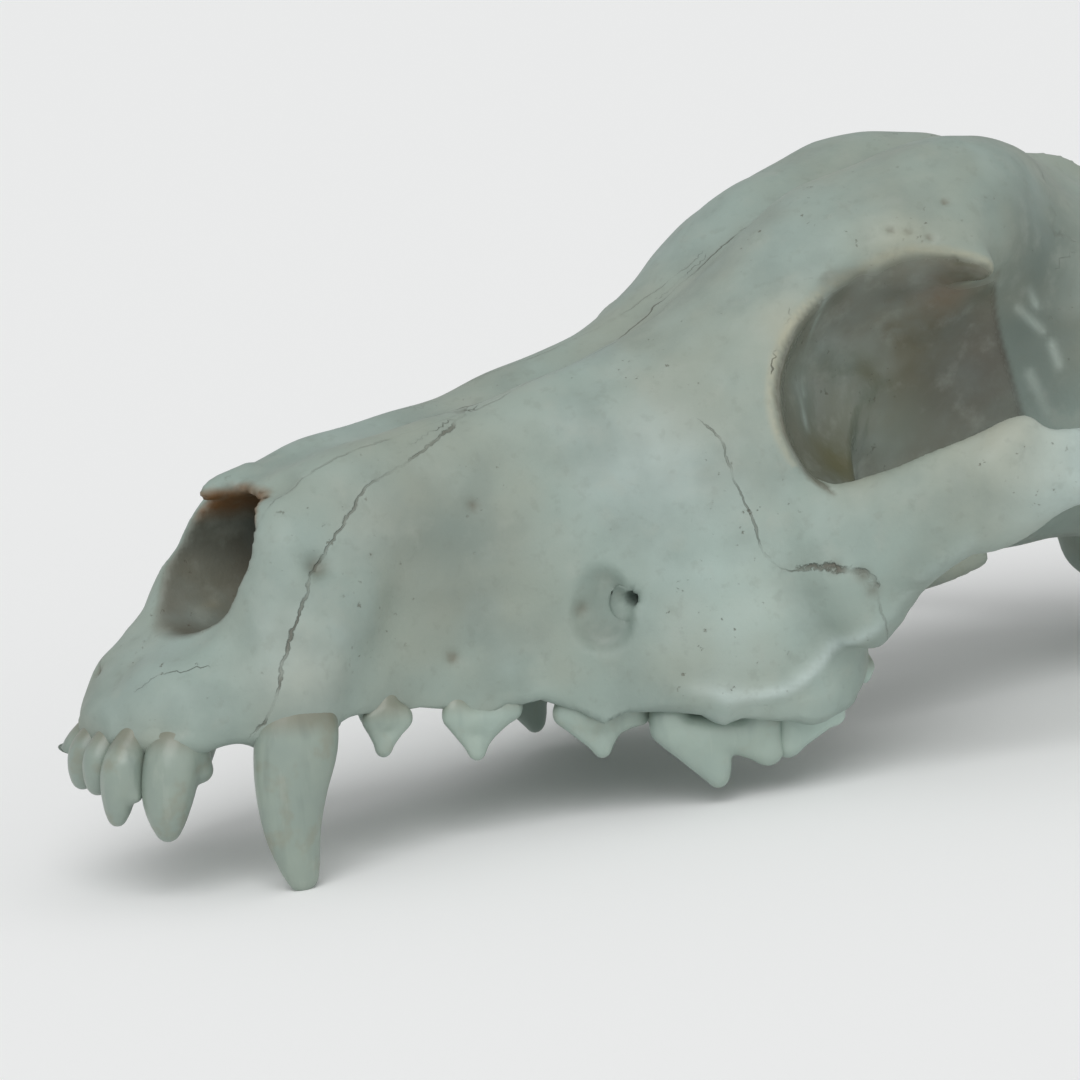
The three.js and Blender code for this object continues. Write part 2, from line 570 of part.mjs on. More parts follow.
function tetrahedronFaces(corners, values, point, crossing, positions, triangles) {
  const inner = corners.filter((index) => values[index] < 0);
  const outer = corners.filter((index) => values[index] >= 0);
  if (inner.length === 0 || outer.length === 0) return;
  const faces = [];
  if (inner.length === 2) {
    const [a, b] = inner;
    const [c, d] = outer;
    const ring = [crossing(a, c), crossing(a, d), crossing(b, d), crossing(b, c)];
    faces.push([ring[0], ring[1], ring[2]], [ring[0], ring[2], ring[3]]);
  } else {
    const lone = inner.length === 1 ? inner[0] : outer[0];
    const others = inner.length === 1 ? outer : inner;
    faces.push(others.map((index) => crossing(lone, index)));
  }
  const from = new THREE.Vector3(...point(inner[0]));
  const outward = new THREE.Vector3(...point(outer[0])).sub(from);
  for (const [p, q, r] of faces) {
    const u = new THREE.Vector3().fromArray(positions, 3 * p);
    const v = new THREE.Vector3().fromArray(positions, 3 * q);
    const w = new THREE.Vector3().fromArray(positions, 3 * r);
    const normal = v.sub(u).cross(w.sub(u));
    triangles.push(...(normal.dot(outward) < 0 ? [p, r, q] : [p, q, r]));
  }
}

// Fewer faces with the same shape: the edge whose loss moves the surface least goes first

function thinned({ positions, triangles }, faceGoal) {
  const vertexCount = positions.length / 3;
  const point = Float64Array.from(positions);
  const face = Int32Array.from(triangles);
  const faceAlive = new Uint8Array(face.length / 3).fill(1);
  const around = Array.from({ length: vertexCount }, () => new Set());
  const quadric = new Float64Array(vertexCount * 10);
  const stamp = new Int32Array(vertexCount);
  const heap = [];
  let faces = faceAlive.length;

  const normalOf = (a, b, c) => {
    const ux = point[3 * b] - point[3 * a];
    const uy = point[3 * b + 1] - point[3 * a + 1];
    const uz = point[3 * b + 2] - point[3 * a + 2];
    const vx = point[3 * c] - point[3 * a];
    const vy = point[3 * c + 1] - point[3 * a + 1];
    const vz = point[3 * c + 2] - point[3 * a + 2];
    return [uy * vz - uz * vy, uz * vx - ux * vz, ux * vy - uy * vx];
  };
  for (let f = 0; f < faceAlive.length; f += 1) {
    const [a, b, c] = [face[3 * f], face[3 * f + 1], face[3 * f + 2]];
    const n = normalOf(a, b, c);
    const area = Math.hypot(...n) + 1e-12;
    const [nx, ny, nz] = n.map((value) => value / area);
    const d = -(nx * point[3 * a] + ny * point[3 * a + 1] + nz * point[3 * a + 2]);
    const q = [nx * nx, nx * ny, nx * nz, nx * d, ny * ny, ny * nz, ny * d, nz * nz, nz * d, d * d];
    for (const v of [a, b, c]) {
      around[v].add(f);
      for (let k = 0; k < 10; k += 1) quadric[10 * v + k] += q[k] * area;
    }
  }
  const costAt = (u, v, x, y, z) => {
    const q = (k) => quadric[10 * u + k] + quadric[10 * v + k];
    return q(0) * x * x + 2 * q(1) * x * y + 2 * q(2) * x * z + 2 * q(3) * x + q(4) * y * y
      + 2 * q(5) * y * z + 2 * q(6) * y + q(7) * z * z + 2 * q(8) * z + q(9);
  };
  const bestPlace = (u, v) => {
    const q = (k) => quadric[10 * u + k] + quadric[10 * v + k];
    const m = new THREE.Matrix3().set(q(0), q(1), q(2), q(1), q(4), q(5), q(2), q(5), q(7));
    const a = new THREE.Vector3().fromArray(point, 3 * u);
    const b = new THREE.Vector3().fromArray(point, 3 * v);
    const middle = a.clone().add(b).multiplyScalar(0.5);
    const size = a.distanceTo(b);
    const choices = [a, b, middle];
    const scale = q(0) + q(4) + q(7);
    if (Math.abs(m.determinant()) > 1e-4 * scale ** 3) {
      const exact = new THREE.Vector3(-q(3), -q(6), -q(8)).applyMatrix3(m.invert());
      if (exact.distanceTo(middle) < size) choices.push(exact);
    }
    let best = null;
    for (const place of choices) {
      const cost = costAt(u, v, place.x, place.y, place.z);
      if (!best || cost < best.cost - 1e-12) best = { cost, place };
    }
    best.cost += 1e-5 * size * size;
    return best;
  };
  const pushEdge = (u, v) => {
    const best = bestPlace(u, v);
    heap.push({ cost: best.cost, u, v, place: best.place, mark: stamp[u] + stamp[v] });
    let i = heap.length - 1;
    while (i > 0) {
      const parent = (i - 1) >> 1;
      if (heap[parent].cost <= heap[i].cost) break;
      [heap[parent], heap[i]] = [heap[i], heap[parent]];
      i = parent;
    }
  };
  const popEdge = () => {
    const top = heap[0];
    const last = heap.pop();
    if (heap.length > 0) {
      heap[0] = last;
      let i = 0;
      for (;;) {
        let least = i;
        for (const child of [2 * i + 1, 2 * i + 2]) {
          if (child < heap.length && heap[child].cost < heap[least].cost) least = child;
        }
        if (least === i) break;
        [heap[least], heap[i]] = [heap[i], heap[least]];
        i = least;
      }
    }
    return top;
  };
  const neighbours = (v) => {
    const found = new Set();
    for (const f of around[v]) {
      for (let k = 0; k < 3; k += 1) if (face[3 * f + k] !== v) found.add(face[3 * f + k]);
    }
    return found;
  };
  const turnsOver = (v, other, place) => {
    for (const f of around[v]) {
      const corners = [face[3 * f], face[3 * f + 1], face[3 * f + 2]];
      if (corners.includes(other)) continue;
      const before = normalOf(...corners);
      const kept = [point[3 * v], point[3 * v + 1], point[3 * v + 2]];
      point.set([place.x, place.y, place.z], 3 * v);
      const after = normalOf(...corners);
      point.set(kept, 3 * v);
      const dot = before[0] * after[0] + before[1] * after[1] + before[2] * after[2];
      if (dot < 0.25 * Math.hypot(...before) * Math.hypot(...after) + 1e-9) return true;
    }
    return false;
  };
  for (let v = 0; v < vertexCount; v += 1) {
    for (const w of neighbours(v)) if (w > v) pushEdge(v, w);
  }
  while (faces > faceGoal && heap.length > 0) {
    const { u, v, place, mark } = popEdge();
    if (around[u].size === 0 || around[v].size === 0 || mark !== stamp[u] + stamp[v]) continue;
    const near = neighbours(v);
    if (!near.has(u)) continue;
    const shared = [...neighbours(u)].filter((w) => near.has(w));
    if (shared.length !== 2 || turnsOver(u, v, place) || turnsOver(v, u, place)) continue;
    for (const f of [...around[v]]) {
      const corners = [face[3 * f], face[3 * f + 1], face[3 * f + 2]];
      if (corners.includes(u)) {
        for (const w of corners) around[w].delete(f);
        faceAlive[f] = 0;
        faces -= 1;
      } else {
        face[3 * f + corners.indexOf(v)] = u;
        around[u].add(f);
      }
    }
    around[v].clear();
    point.set([place.x, place.y, place.z], 3 * u);
    for (let k = 0; k < 10; k += 1) quadric[10 * u + k] += quadric[10 * v + k];
    stamp[u] += 1;
    stamp[v] += 1000000;
    for (const w of neighbours(u)) pushEdge(u, w);
  }
  const number = new Map();
  const keptPositions = [];
  const keptTriangles = [];
  for (let f = 0; f < faceAlive.length; f += 1) {
    if (!faceAlive[f]) continue;
    for (let k = 0; k < 3; k += 1) {
      const v = face[3 * f + k];
      if (!number.has(v)) {
        number.set(v, keptPositions.length / 3);
        keptPositions.push(point[3 * v], point[3 * v + 1], point[3 * v + 2]);
      }
      keptTriangles.push(number.get(v));
    }
  }
  return { positions: keptPositions, triangles: keptTriangles };
}

// Solids

function solidOf({ positions, triangles }) {
  const vertProperties = Float32Array.from(positions);
  const triVerts = Uint32Array.from(triangles);
  return new wasm.Manifold(new wasm.Mesh({ numProp: 3, vertProperties, triVerts }));
}

function largest(solid) {
  const pieces = solid.decompose();
  return pieces.reduce((best, piece) => (piece.volume() > best.volume() ? piece : best));
}

// A prism on an outline that is drawn in the (x, z) plane and runs along y, or in (x, y) along z
function prism(outline, from, to, plan) {
  const shape = new THREE.Shape(outline.map(([u, v]) => new THREE.Vector2(u, v)));
  const geometry = new THREE.ExtrudeGeometry(shape, { depth: to - from, bevelEnabled: false });
  const positions = [];
  const at = geometry.getAttribute('position');
  for (let i = 0; i < at.count; i += 1) {
    const along = at.getZ(i) + from;
    if (plan) positions.push(at.getX(i), at.getY(i), along);
    else positions.push(at.getX(i), -along, at.getY(i));
  }
  return solidOf(merged(positions));
}

function merged(corners) {
  const known = new Map();
  const positions = [];
  const triangles = [];
  for (let i = 0; i < corners.length; i += 3) {
    const corner = corners.slice(i, i + 3);
    const key = corner.map((value) => value.toFixed(5)).join(',');
    if (!known.has(key)) {
      known.set(key, positions.length / 3);
      positions.push(...corner);
    }
    triangles.push(known.get(key));
  }
  return { positions, triangles };
}

function mirrored(outline) {
  return outline.map(([x, y]) => [x, -y]).reverse();
}

// An outline moved outwards by the width of a suture
function widened(outline, by) {
  const n = outline.length;
  return outline.map(([x, y], i) => {
    const [x0, y0] = outline[(i + n - 1) % n];
    const [x1, y1] = outline[(i + 1) % n];
    const a = new THREE.Vector2(x - x0, y - y0).normalize();
    const b = new THREE.Vector2(x1 - x, y1 - y).normalize();
    const out = new THREE.Vector2(a.y + b.y, -a.x - b.x).normalize();
    const reach = by / Math.max(0.5, out.dot(new THREE.Vector2(a.y, -a.x)));
    return [x + out.x * reach, y + out.y * reach];
  });
}

// Teeth

function toothFace(tooth) {
  const turn = THREE.MathUtils.degToRad(tooth.turn);
  const forms = tooth.paths.map((path) => rod(path));
  const low = [Infinity, Infinity, Infinity];
  const high = [-Infinity, -Infinity, -Infinity];
  for (const row of tooth.paths.flat()) {
    for (let k = 0; k < 3; k += 1) {
      low[k] = Math.min(low[k], row[k] - row[3] - 1.5);
      high[k] = Math.max(high[k], row[k] + row[3] + 1.5);
    }
  }
  const distance = (x, y, z) => forms.reduce((f, form) => join(f, form(x, y, z), 1.1), 1e3);
  const found = thinned(facesOf(distance, low, high, tooth.step), tooth.faces);
  for (let i = 0; i < found.positions.length; i += 3) {
    const along = found.positions[i];
    const across = found.positions[i + 1] * tooth.thick;
    found.positions[i] = tooth.at[0] + along * Math.cos(turn) + across * Math.sin(turn);
    found.positions[i + 1] = -tooth.at[1] - along * Math.sin(turn) + across * Math.cos(turn);
    found.positions[i + 2] += tooth.at[2];
  }
  return found;
}

function otherSide({ positions, triangles }) {
  const flippedPositions = positions.map((value, i) => (i % 3 === 1 ? -value : value));
  const flippedTriangles = [];
  for (let i = 0; i < triangles.length; i += 3) {
    flippedTriangles.push(triangles[i], triangles[i + 2], triangles[i + 1]);
  }
  return { positions: flippedPositions, triangles: flippedTriangles };
}

// What is broken off a right tooth: all of it below its broken level
function brokenPart(tooth) {
  const block = new THREE.BoxGeometry(40, 40, 40);
  block.translate(tooth.at[0], tooth.at[1], tooth.at[2] + tooth.broken - 20);
  return solidOf(merged([...block.toNonIndexed().getAttribute('position').array]));
}

// Build

const FAR = 120;
const whole = thinned(facesOf(skullDistance, [-8, -76, -12], [262, 76, 96], FACE_STEP), BONE_FACES);
let rest = largest(solidOf(whole));
for (const tooth of TEETH) {
  const left = toothFace(tooth);
  const right = solidOf(otherSide(left)).subtract(brokenPart(tooth));
  rest = rest.add(solidOf(left)).add(right);
}
const bones = {};

// Takes one bone out of the rest along its borders and leaves the width of a suture around it
function take(name, side, plan) {
  const cutter = (by) => prism(widened(side, by), -FAR, FAR, false)
    .intersect(prism(widened(plan, by), -FAR, FAR, true));
  bones[name] = largest(rest.intersect(cutter(0)));
  rest = rest.subtract(cutter(SUTURE_GAP));
}

const LEFT_HALF = [[-30, -FAR], [300, -FAR], [300, -SUTURE_GAP / 2], [-30, -SUTURE_GAP / 2]];
const BOTH_HALVES = [[-30, -FAR], [300, -FAR], [300, FAR], [-30, FAR]];
take('left_cheekbone', CHEEK_SIDE, mirrored(CHEEK_PLAN));
take('right_cheekbone', CHEEK_SIDE, CHEEK_PLAN);
take('nasal_bones', NASAL_SIDE, NASAL_PLAN);
take('incisive_bones', INCISIVE_SIDE, BOTH_HALVES);
take('left_maxilla', MAXILLA_SIDE, LEFT_HALF);
take('right_maxilla', MAXILLA_SIDE, mirrored(LEFT_HALF));
bones.cranium = largest(rest);

// The skull tips back until it rests on the worn tip of the left canine tooth and on the two horns
// beside the neck joint, whose ends are worn to the same small flats

const canine = TEETH.find((tooth) => tooth.name === 'canine');
const canineTip = canine.paths[0][canine.paths[0].length - 1];
const frontX = canine.at[0] + canineTip[0];
const frontZ = canine.at[2] + canineTip[2] - canineTip[3] + WEAR;
const horn = NECK_HORN[NECK_HORN.length - 1];
const pitch = Math.atan2(horn[2] - horn[3] + WEAR - frontZ, horn[0] - frontX);

const pose = new THREE.Matrix4().makeRotationY(pitch);
pose.setPosition(-MIDDLE, 0, frontX * Math.sin(pitch) - frontZ * Math.cos(pitch));

const ground = new THREE.BoxGeometry(600, 300, 40);
ground.translate(0, 0, -20);
ground.applyMatrix4(pose.clone().invert());
const groundSolid = solidOf(merged([...ground.toNonIndexed().getAttribute('position').array]));

const group = new THREE.Group();
for (const [name, solid] of Object.entries(bones)) {
  const worn = largest(solid.subtract(groundSolid)).getMesh();
  const geometry = new THREE.BufferGeometry();
  geometry.setAttribute('position', new THREE.BufferAttribute(worn.vertProperties, 3));
  geometry.setIndex(new THREE.BufferAttribute(worn.triVerts, 1));
  geometry.applyMatrix4(pose);
  geometry.computeVertexNormals();
  const material = new THREE.MeshStandardMaterial({ color: BONE, roughness: 0.55, metalness: 0 });
  const mesh = new THREE.Mesh(geometry, material);
  mesh.name = name;
  group.add(mesh);
}

export default group;
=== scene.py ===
import math

import bpy
import numpy as np
from mathutils import Matrix


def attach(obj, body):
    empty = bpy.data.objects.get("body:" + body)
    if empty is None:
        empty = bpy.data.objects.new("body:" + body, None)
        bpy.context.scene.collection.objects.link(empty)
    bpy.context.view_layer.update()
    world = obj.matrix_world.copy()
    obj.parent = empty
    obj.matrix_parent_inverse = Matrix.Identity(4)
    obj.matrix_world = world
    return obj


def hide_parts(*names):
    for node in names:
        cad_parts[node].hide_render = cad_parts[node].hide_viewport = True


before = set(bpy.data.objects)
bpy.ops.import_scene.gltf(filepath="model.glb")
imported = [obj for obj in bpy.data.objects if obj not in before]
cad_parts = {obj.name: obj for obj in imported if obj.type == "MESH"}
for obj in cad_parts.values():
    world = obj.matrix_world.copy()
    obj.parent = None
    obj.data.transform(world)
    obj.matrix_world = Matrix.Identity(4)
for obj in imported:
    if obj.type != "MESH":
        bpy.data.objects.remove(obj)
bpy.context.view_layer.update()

# The skull is one thin hard shell of bone in the grown animal, from the front teeth to the nape.
# It is measured in millimetres: x runs back from the front teeth, y to the animal's right, z up
# from the tooth sockets. A distance field joins its forms, and the bones are parted further down.

# The muzzle and the face up to the eyes, in sections: x, top, five rows of half width and height
# from the top to the tooth sockets, then the height of the palate's middle
FACE = [
    [3.4, 1.6,  2, 1.4,  3.6, 0.8,  4.6, -0.8,  4.6, -2.4,  3, -3.2,  -2.8],
    [5.5, 4,  4, 3.8,  6.8, 2.8,  9.2, 0,  9.8, -2.5,  6, -3.7,  -2.8],
    [9, 8.4,  6, 8.4,  10, 7,  13.4, 2.4,  14.8, -2.7,  9.5, -4,  -2.8],
    [15.4, 12.6,  8, 12.6,  12.6, 11.4,  17, 5.6,  18.2, -2,  12.8, -3,  -2.6],
    [19.9, 17,  9, 17,  13.4, 15.4,  18.4, 8.5,  19, -0.6,  13, -1.6,  -2],
    [22.9, 23.5,  9.2, 23.3,  13.8, 21,  19.3, 11,  20.3, 0.2,  13.8, -0.9,  -1.4],
    [26, 31,  9, 30.8,  13.8, 26,  19.9, 12.5,  21.3, 0.4,  14, -0.5,  -0.8],
    [31, 36.9,  9.2, 36.4,  14.8, 29.5,  20.5, 14,  22.3, 0.5,  14, 0,  1],
    [40, 40.8,  9.5, 40,  15.2, 31.5,  19.1, 15,  20.5, 1,  14, 0.5,  3],
    [50, 43.4,  9.5, 42.6,  15, 33.5,  17.3, 18,  19, 1,  14.5, 0.5,  4],
    [62, 46.6,  9.5, 45.7,  15, 37,  18.3, 20,  21, 1,  16, 0.5,  5],
    [76, 50.6,  9.8, 49.6,  17, 41,  23.3, 22,  26.4, 1,  21, -0.6,  5.5],
    [88, 54.8,  10.3, 53.7,  20.5, 44.5,  29, 24,  32.8, 1.4,  27.5, -1.2,  5.8],
    [100, 59.8,  11.5, 58.8,  24, 49,  34.5, 27,  37.7, 2.2,  33, -2.4,  5.8],
    [108, 64.3,  11.8, 63.2,  25.2, 52.5,  37.5, 29,  39.4, 3,  35.2, -4.2,  5.6],
    [115, 70,  12.4, 69,  25.6, 59,  39.5, 31,  40, 5,  36.2, -5,  5.6],
    [121, 75,  13.2, 73.8,  25.4, 65,  40.5, 30,  39, 7.5,  35.4, -3.6,  6],
    [127, 78.8,  14.2, 77.8,  24.6, 69,  36, 28,  35, 8.5,  31, 1.6,  7],
    [132, 80,  15, 79,  23, 71,  22, 29,  23, 15,  18, 9,  9],
    [137, 80,  14, 78,  19, 72,  12, 30,  12, 20,  10.5, 12,  12],
]


def curve_through(q, steps):
    """Catmull-Rom curve through the rows of q, of which the first and the last only steer it."""
    t = (np.arange(steps) / steps)[:, None]
    out = []
    for a, b, c, d in zip(q[:-3], q[1:-2], q[2:-1], q[3:]):
        out.append(0.5 * (2 * b + (c - a) * t + (2 * a - 5 * b + 4 * c - d) * t * t
                          + (3 * b - a - 3 * c + d) * t ** 3))
    return np.vstack(out + [q[-2:-1]])


def smooth_path(rows, steps):
    """A curve through the rows; two rows stay a straight line."""
    p = np.asarray(rows, float)
    if len(p) == 2:
        return p
    return curve_through(np.vstack([2 * p[0] - p[1], p, 2 * p[-1] - p[-2]]), steps)


def station(rows, x):
    """Values of a section table at x, without overshoot between its rows."""
    table = np.asarray(rows, float)
    xs = table[:, 0]
    if x <= xs[0] or x >= xs[-1]:
        return table[0 if x <= xs[0] else -1, 1:]
    i = min(int(np.searchsorted(xs, x)) - 1, len(xs) - 2)
    rise = (table[1:, 1:] - table[:-1, 1:]) / (xs[1:] - xs[:-1])[:, None]

    def slope(k):
        if k in (0, len(xs) - 1):
            return rise[min(k, len(xs) - 2)]
        a, b = rise[k - 1], rise[k]
        return np.where(a * b <= 0, 0.0, 2 * a * b / np.where(a + b == 0, 1, a + b))

    wide = xs[i + 1] - xs[i]
    t = (x - xs[i]) / wide
    return ((2 * t ** 3 - 3 * t * t + 1) * table[i, 1:] + (t ** 3 - 2 * t * t + t) * slope(i) * wide
            + (3 * t * t - 2 * t ** 3) * table[i + 1, 1:] + (t ** 3 - t * t) * slope(i + 1) * wide)


def in_outline(across, up, points):
    """Distance to a closed section outline given from its top middle to its bottom middle."""
    y0, z0 = points[:-1, 0, None], points[:-1, 1, None]
    ey, ez = points[1:, 0, None] - y0, points[1:, 1, None] - z0
    wy, wz = across - y0, up - z0
    t = np.clip((wy * ey + wz * ez) / np.maximum(ey * ey + ez * ez, 1e-9), 0, 1)
    far = ((wy - ey * t) ** 2 + (wz - ez * t) ** 2).min(0)
    flat = np.where(np.abs(ez) > 1e-9, ez, 1e-9)
    crossed = ((z0 > up) != (z0 + ez > up)) & (wy < wz * ey / flat)
    return np.where(crossed.sum(0) % 2 == 1, -1.0, 1.0) * np.sqrt(far)


# A distance that stands for anything too far off to touch what is measured
FAR_AWAY = 30.0


def section_body(x, a, z, rows):
    """Distance to the body through a table of sections; a is the distance from the middle."""
    if x < rows[0][0] - 12 or x > rows[-1][0] + 12:
        return np.full(a.shape, FAR_AWAY, np.float32)
    v = station(rows, x)
    pts = np.vstack([[0, v[0]], v[1:-1].reshape(-1, 2), [0, v[-1]]])
    mirrored = [[-1, 1]] * pts[[1, -2]]
    f = in_outline(a, z, curve_through(np.vstack([mirrored[:1], pts, mirrored[1:]]), 5))
    ends = max(rows[0][0] - x, x - rows[-1][0])
    return np.maximum(f, ends) if ends > -3 else f


# The nose opening's left rim stands back from its right rim, most of all low down
RIM_LEAN = 0.9
RIM_DROP = 1.05
RIM_END = 38


def face_distance(x, y, z):
    """The muzzle; near the nose its left rim stands back a little from its right rim."""
    a = np.abs(y)
    if x >= RIM_END:
        return section_body(x, a, z, FACE)
    back = RIM_LEAN * min(1, (RIM_END - x) / 12)
    back += RIM_DROP * min(1, max(0, (x - 11) / 3)) * min(1, max(0, (23.5 - x) / 2.5))
    w = np.clip(0.5 + y / 18, 0, 1)
    return section_body(x - back, a, z, FACE) * (1 - w) + section_body(x + back, a, z, FACE) * w


# The braincase, in sections of the same kind, and the trough along the middle of the forehead
BRAIN = [
    [108, 63,  11, 61.5,  22, 53,  20, 40,  14, 28,  10, 18,  15],
    [120, 74,  13, 72.8,  23.8, 65,  20, 48,  14, 30,  11, 15,  12],
    [130, 80.4,  14.8, 79.2,  25.4, 71.2,  19.5, 52,  13, 30,  11.5, 12,  10.5],
    [140, 84.9,  17, 84.2,  29, 74,  18.8, 55,  12.2, 30,  11.3, 13,  12],
    [150, 88,  19, 86.8,  30.5, 72.5,  18, 55,  11.8, 30,  11.3, 13.5,  13],
    [157, 89.6,  20, 87.4,  28.5, 72,  18, 55,  12.5, 32,  11.5, 15.5,  15],
    [165, 89.8,  18, 87,  24.5, 75,  19.5, 55,  14, 34,  12.5, 19,  16.5],
    [174, 88,  13, 85.5,  20.5, 72,  20.5, 52,  17, 36,  14.5, 24,  17],
    [183, 84.8,  8, 82,  20, 70,  24, 50,  21, 36,  17, 25,  17],
    [195, 79.6,  12, 76.8,  24, 66,  30.5, 48,  28, 36,  22, 25,  16.5],
    [210, 77.4,  15, 74.4,  28, 64,  34, 46,  33, 35,  26, 23,  16],
    [225, 75.6,  14, 72.4,  27, 62,  33, 45,  33, 35,  27, 23,  16],
    [235, 73.8,  10, 70.6,  22.5, 60,  29, 46,  31, 35,  26, 25,  17.5],
    [242, 71.6,  8, 68,  18, 58,  24.5, 46,  26, 36,  18, 28,  24],
    [246, 71,  7, 67,  13.5, 58,  19, 47,  20, 38,  13, 32,  28],
]
FOREHEAD_TROUGH = [
    [30, 0.4], [55, 1.8], [76, 2.6], [90, 3.2], [105, 2.4], [115, 3.2], [134, 4.2], [150, 4],
    [165, 2.6], [178, 0.8], [186, 0],
]

# Flat bars of bone: the crests on top and across the nape, the cheek arches, the ridge over the
# incisors and the stop behind the jaw joint. Rows of x, y, z, half height, half thickness, lean
TOP_CREST = [
    [176, 0, 80, 6, 2.2, 0],
    [187, 0, 78.4, 7, 2.2, 0],
    [194, 0, 75.8, 7.2, 2, 0],
    [203, 0, 73.2, 8, 2, 0],
    [218, 0, 72.2, 8.8, 1.9, 0],
    [236, 0, 71.4, 9, 2, 0],
    [246, 0, 70, 8, 2.4, 0],
    [250.5, 0, 68, 6.5, 2.6, 0],
]
NAPE_CREST = [
    [250, 0, 69, 6.5, 2.6, 0],
    [246.5, 11.5, 64.5, 5.8, 2.4, 10],
    [241.5, 22, 55, 5.6, 2.4, 25],
    [237, 29.5, 43, 6, 2.6, 30],
    [233, 33, 32, 6, 3.2, 20],
]
CHEEK_ARCH = [
    [206, 30, 33, 4, 5, 0],
    [206, 42, 28, 4.5, 6, 0],
    [202, 55, 28.5, 6, 5, 0],
    [194, 65, 33, 6.3, 3.2, 0],
    [182, 69, 37.5, 5.6, 2.8, 0],
    [168, 67.5, 39, 5.5, 2.8, 0],
    [156, 62.5, 38.5, 5.8, 3, 0],
    [147, 58, 37.5, 7.2, 3.2, 0],
    [138, 53, 33.6, 9.2, 3.8, 0],
    [133, 50.2, 31.9, 9, 4.2, 0],
    [127.5, 46.3, 28, 9.8, 5, 0],
    [118, 40, 21.5, 14, 7, 0],
]
INCISOR_RIDGE = [
    [6, 0, 0, 4, 3, 0], [6.8, 4.8, -0.1, 4, 3, 0], [9.2, 8.8, -0.2, 4, 3, 0], [13.5, 12.6, 0, 4, 3, 0],
]
JAW_STOP = [[204, 38, 25, 4, 5, 0], [205, 46, 22, 6.5, 4, 0], [206, 54, 23, 5, 4, 0]]
PATHS = {}


def pieces_near(path, x):
    """The short straight pieces of a smooth path that come near one x slice."""
    if id(path) not in PATHS:
        p = smooth_path(path, 4)
        PATHS[id(path)] = (p[:-1], p[1:])
    a, b = PATHS[id(path)]
    reach = np.maximum(a[:, 3], b[:, 3]).max() + 10
    near = (np.minimum(a[:, 0], b[:, 0]) - reach < x) & (np.maximum(a[:, 0], b[:, 0]) + reach > x)
    return a[near], b[near]


def nearest_on(a, b, x, y, z):
    """Where along each piece the points come nearest, and the offsets from there."""
    e = b[:, :3] - a[:, :3]
    square = np.maximum((e * e).sum(1), 1e-9)
    wx = x - a[:, 0, None]
    wy = y - a[:, 1, None]
    wz = z - a[:, 2, None]
    t = np.clip((wx * e[:, 0, None] + wy * e[:, 1, None] + wz * e[:, 2, None]) / square[:, None], 0, 1)
    return e, square, t, (wx - e[:, 0, None] * t, wy - e[:, 1, None] * t, wz - e[:, 2, None] * t)


def bar(x, y, z, path):
    """Distance to a flat bar through rows of x, y, z, half height, half thickness, lean."""
    a, b = pieces_near(path, x)
    if len(a) == 0:
        return np.full(y.shape, FAR_AWAY, np.float32)
    e, square, t, off = nearest_on(a, b, x, y, z)
    u = e / np.sqrt(square)[:, None]
    level = np.maximum(np.hypot(u[:, 0], u[:, 1]), 1e-6)
    n = np.stack([-u[:, 1] / level, u[:, 0] / level, 0 * level], 1)
    v = np.cross(u, n)
    v *= np.where(v[:, 2:] < 0, -1, 1)
    lean = np.radians((a[:, 5] + b[:, 5]) / 2)[:, None]
    thin = n * np.cos(lean) + v * np.sin(lean)
    tall = v * np.cos(lean) - n * np.sin(lean)
    on, ov, ou = (sum(off[k] * w[:, k, None] for k in range(3)) for w in (thin, tall, u))
    high = a[:, 3, None] + (b[:, 3] - a[:, 3])[:, None] * t
    thick = a[:, 4, None] + (b[:, 4] - a[:, 4])[:, None] * t
    k0 = np.sqrt((on / thick) ** 2 + (ov / high) ** 2 + (ou / thick) ** 2)
    k1 = np.sqrt((on / thick ** 2) ** 2 + (ov / high ** 2) ** 2 + (ou / thick ** 2) ** 2)
    return np.where(k0 > 1e-3, k0 * (k0 - 1) / np.maximum(k1, 1e-6), -np.minimum(high, thick)).min(0)


# Round forms: the points over the eye and the cheek, the canine's root, the horns beside the
# neck, the hooks behind the palate and the rim of the nose bones. Rows of x, y, z, radius
CHEEK_POINT = [[140, 54, 38, 5.4], [142, 55.2, 41.8, 4], [143.5, 56, 44, 2.6]]
BROW_POINT = [[138, 21, 70.5, 6], [146, 26, 70.8, 5.2], [150.6, 30.4, 68.4, 3.4]]
CANINE_ROOT = [
    [28.5, 16, 2.4, 7.8], [32, 15.6, 9, 7.6], [38, 13.8, 17, 6.4], [45, 11.2, 26, 5], [50, 9.5, 31, 4],
]
NECK_HORN = [[235, 27, 30, 6], [238, 29, 14, 4.8], [239, 29.5, 4, 3.6], [239, 29.5, 0.5, 3]]
PALATE_HOOK = [[145, 10.6, 12.5, 2.4], [156, 11, 14.4, 2.1], [165, 11.6, 16.6, 1.3]]
NASAL_BREAK = [[20, -7, 38, 6.5], [30, -7, 40, 5.5]]
NASAL_TONGUE = [[33, 5, 37, 2.2], [27.5, 4.8, 35.2, 2], [24.8, 4.2, 33.8, 1.3]]


def rod(x, y, z, path):
    """Distance to a round rod through rows of x, y, z, radius."""
    a, b = pieces_near(path, x)
    if len(a) == 0:
        return np.full(y.shape, FAR_AWAY, np.float32)
    _, _, t, off = nearest_on(a, b, x, y, z)
    radius = a[:, 3, None] + (b[:, 3] - a[:, 3])[:, None] * t
    return (np.sqrt(off[0] ** 2 + off[1] ** 2 + off[2] ** 2) - radius).min(0)


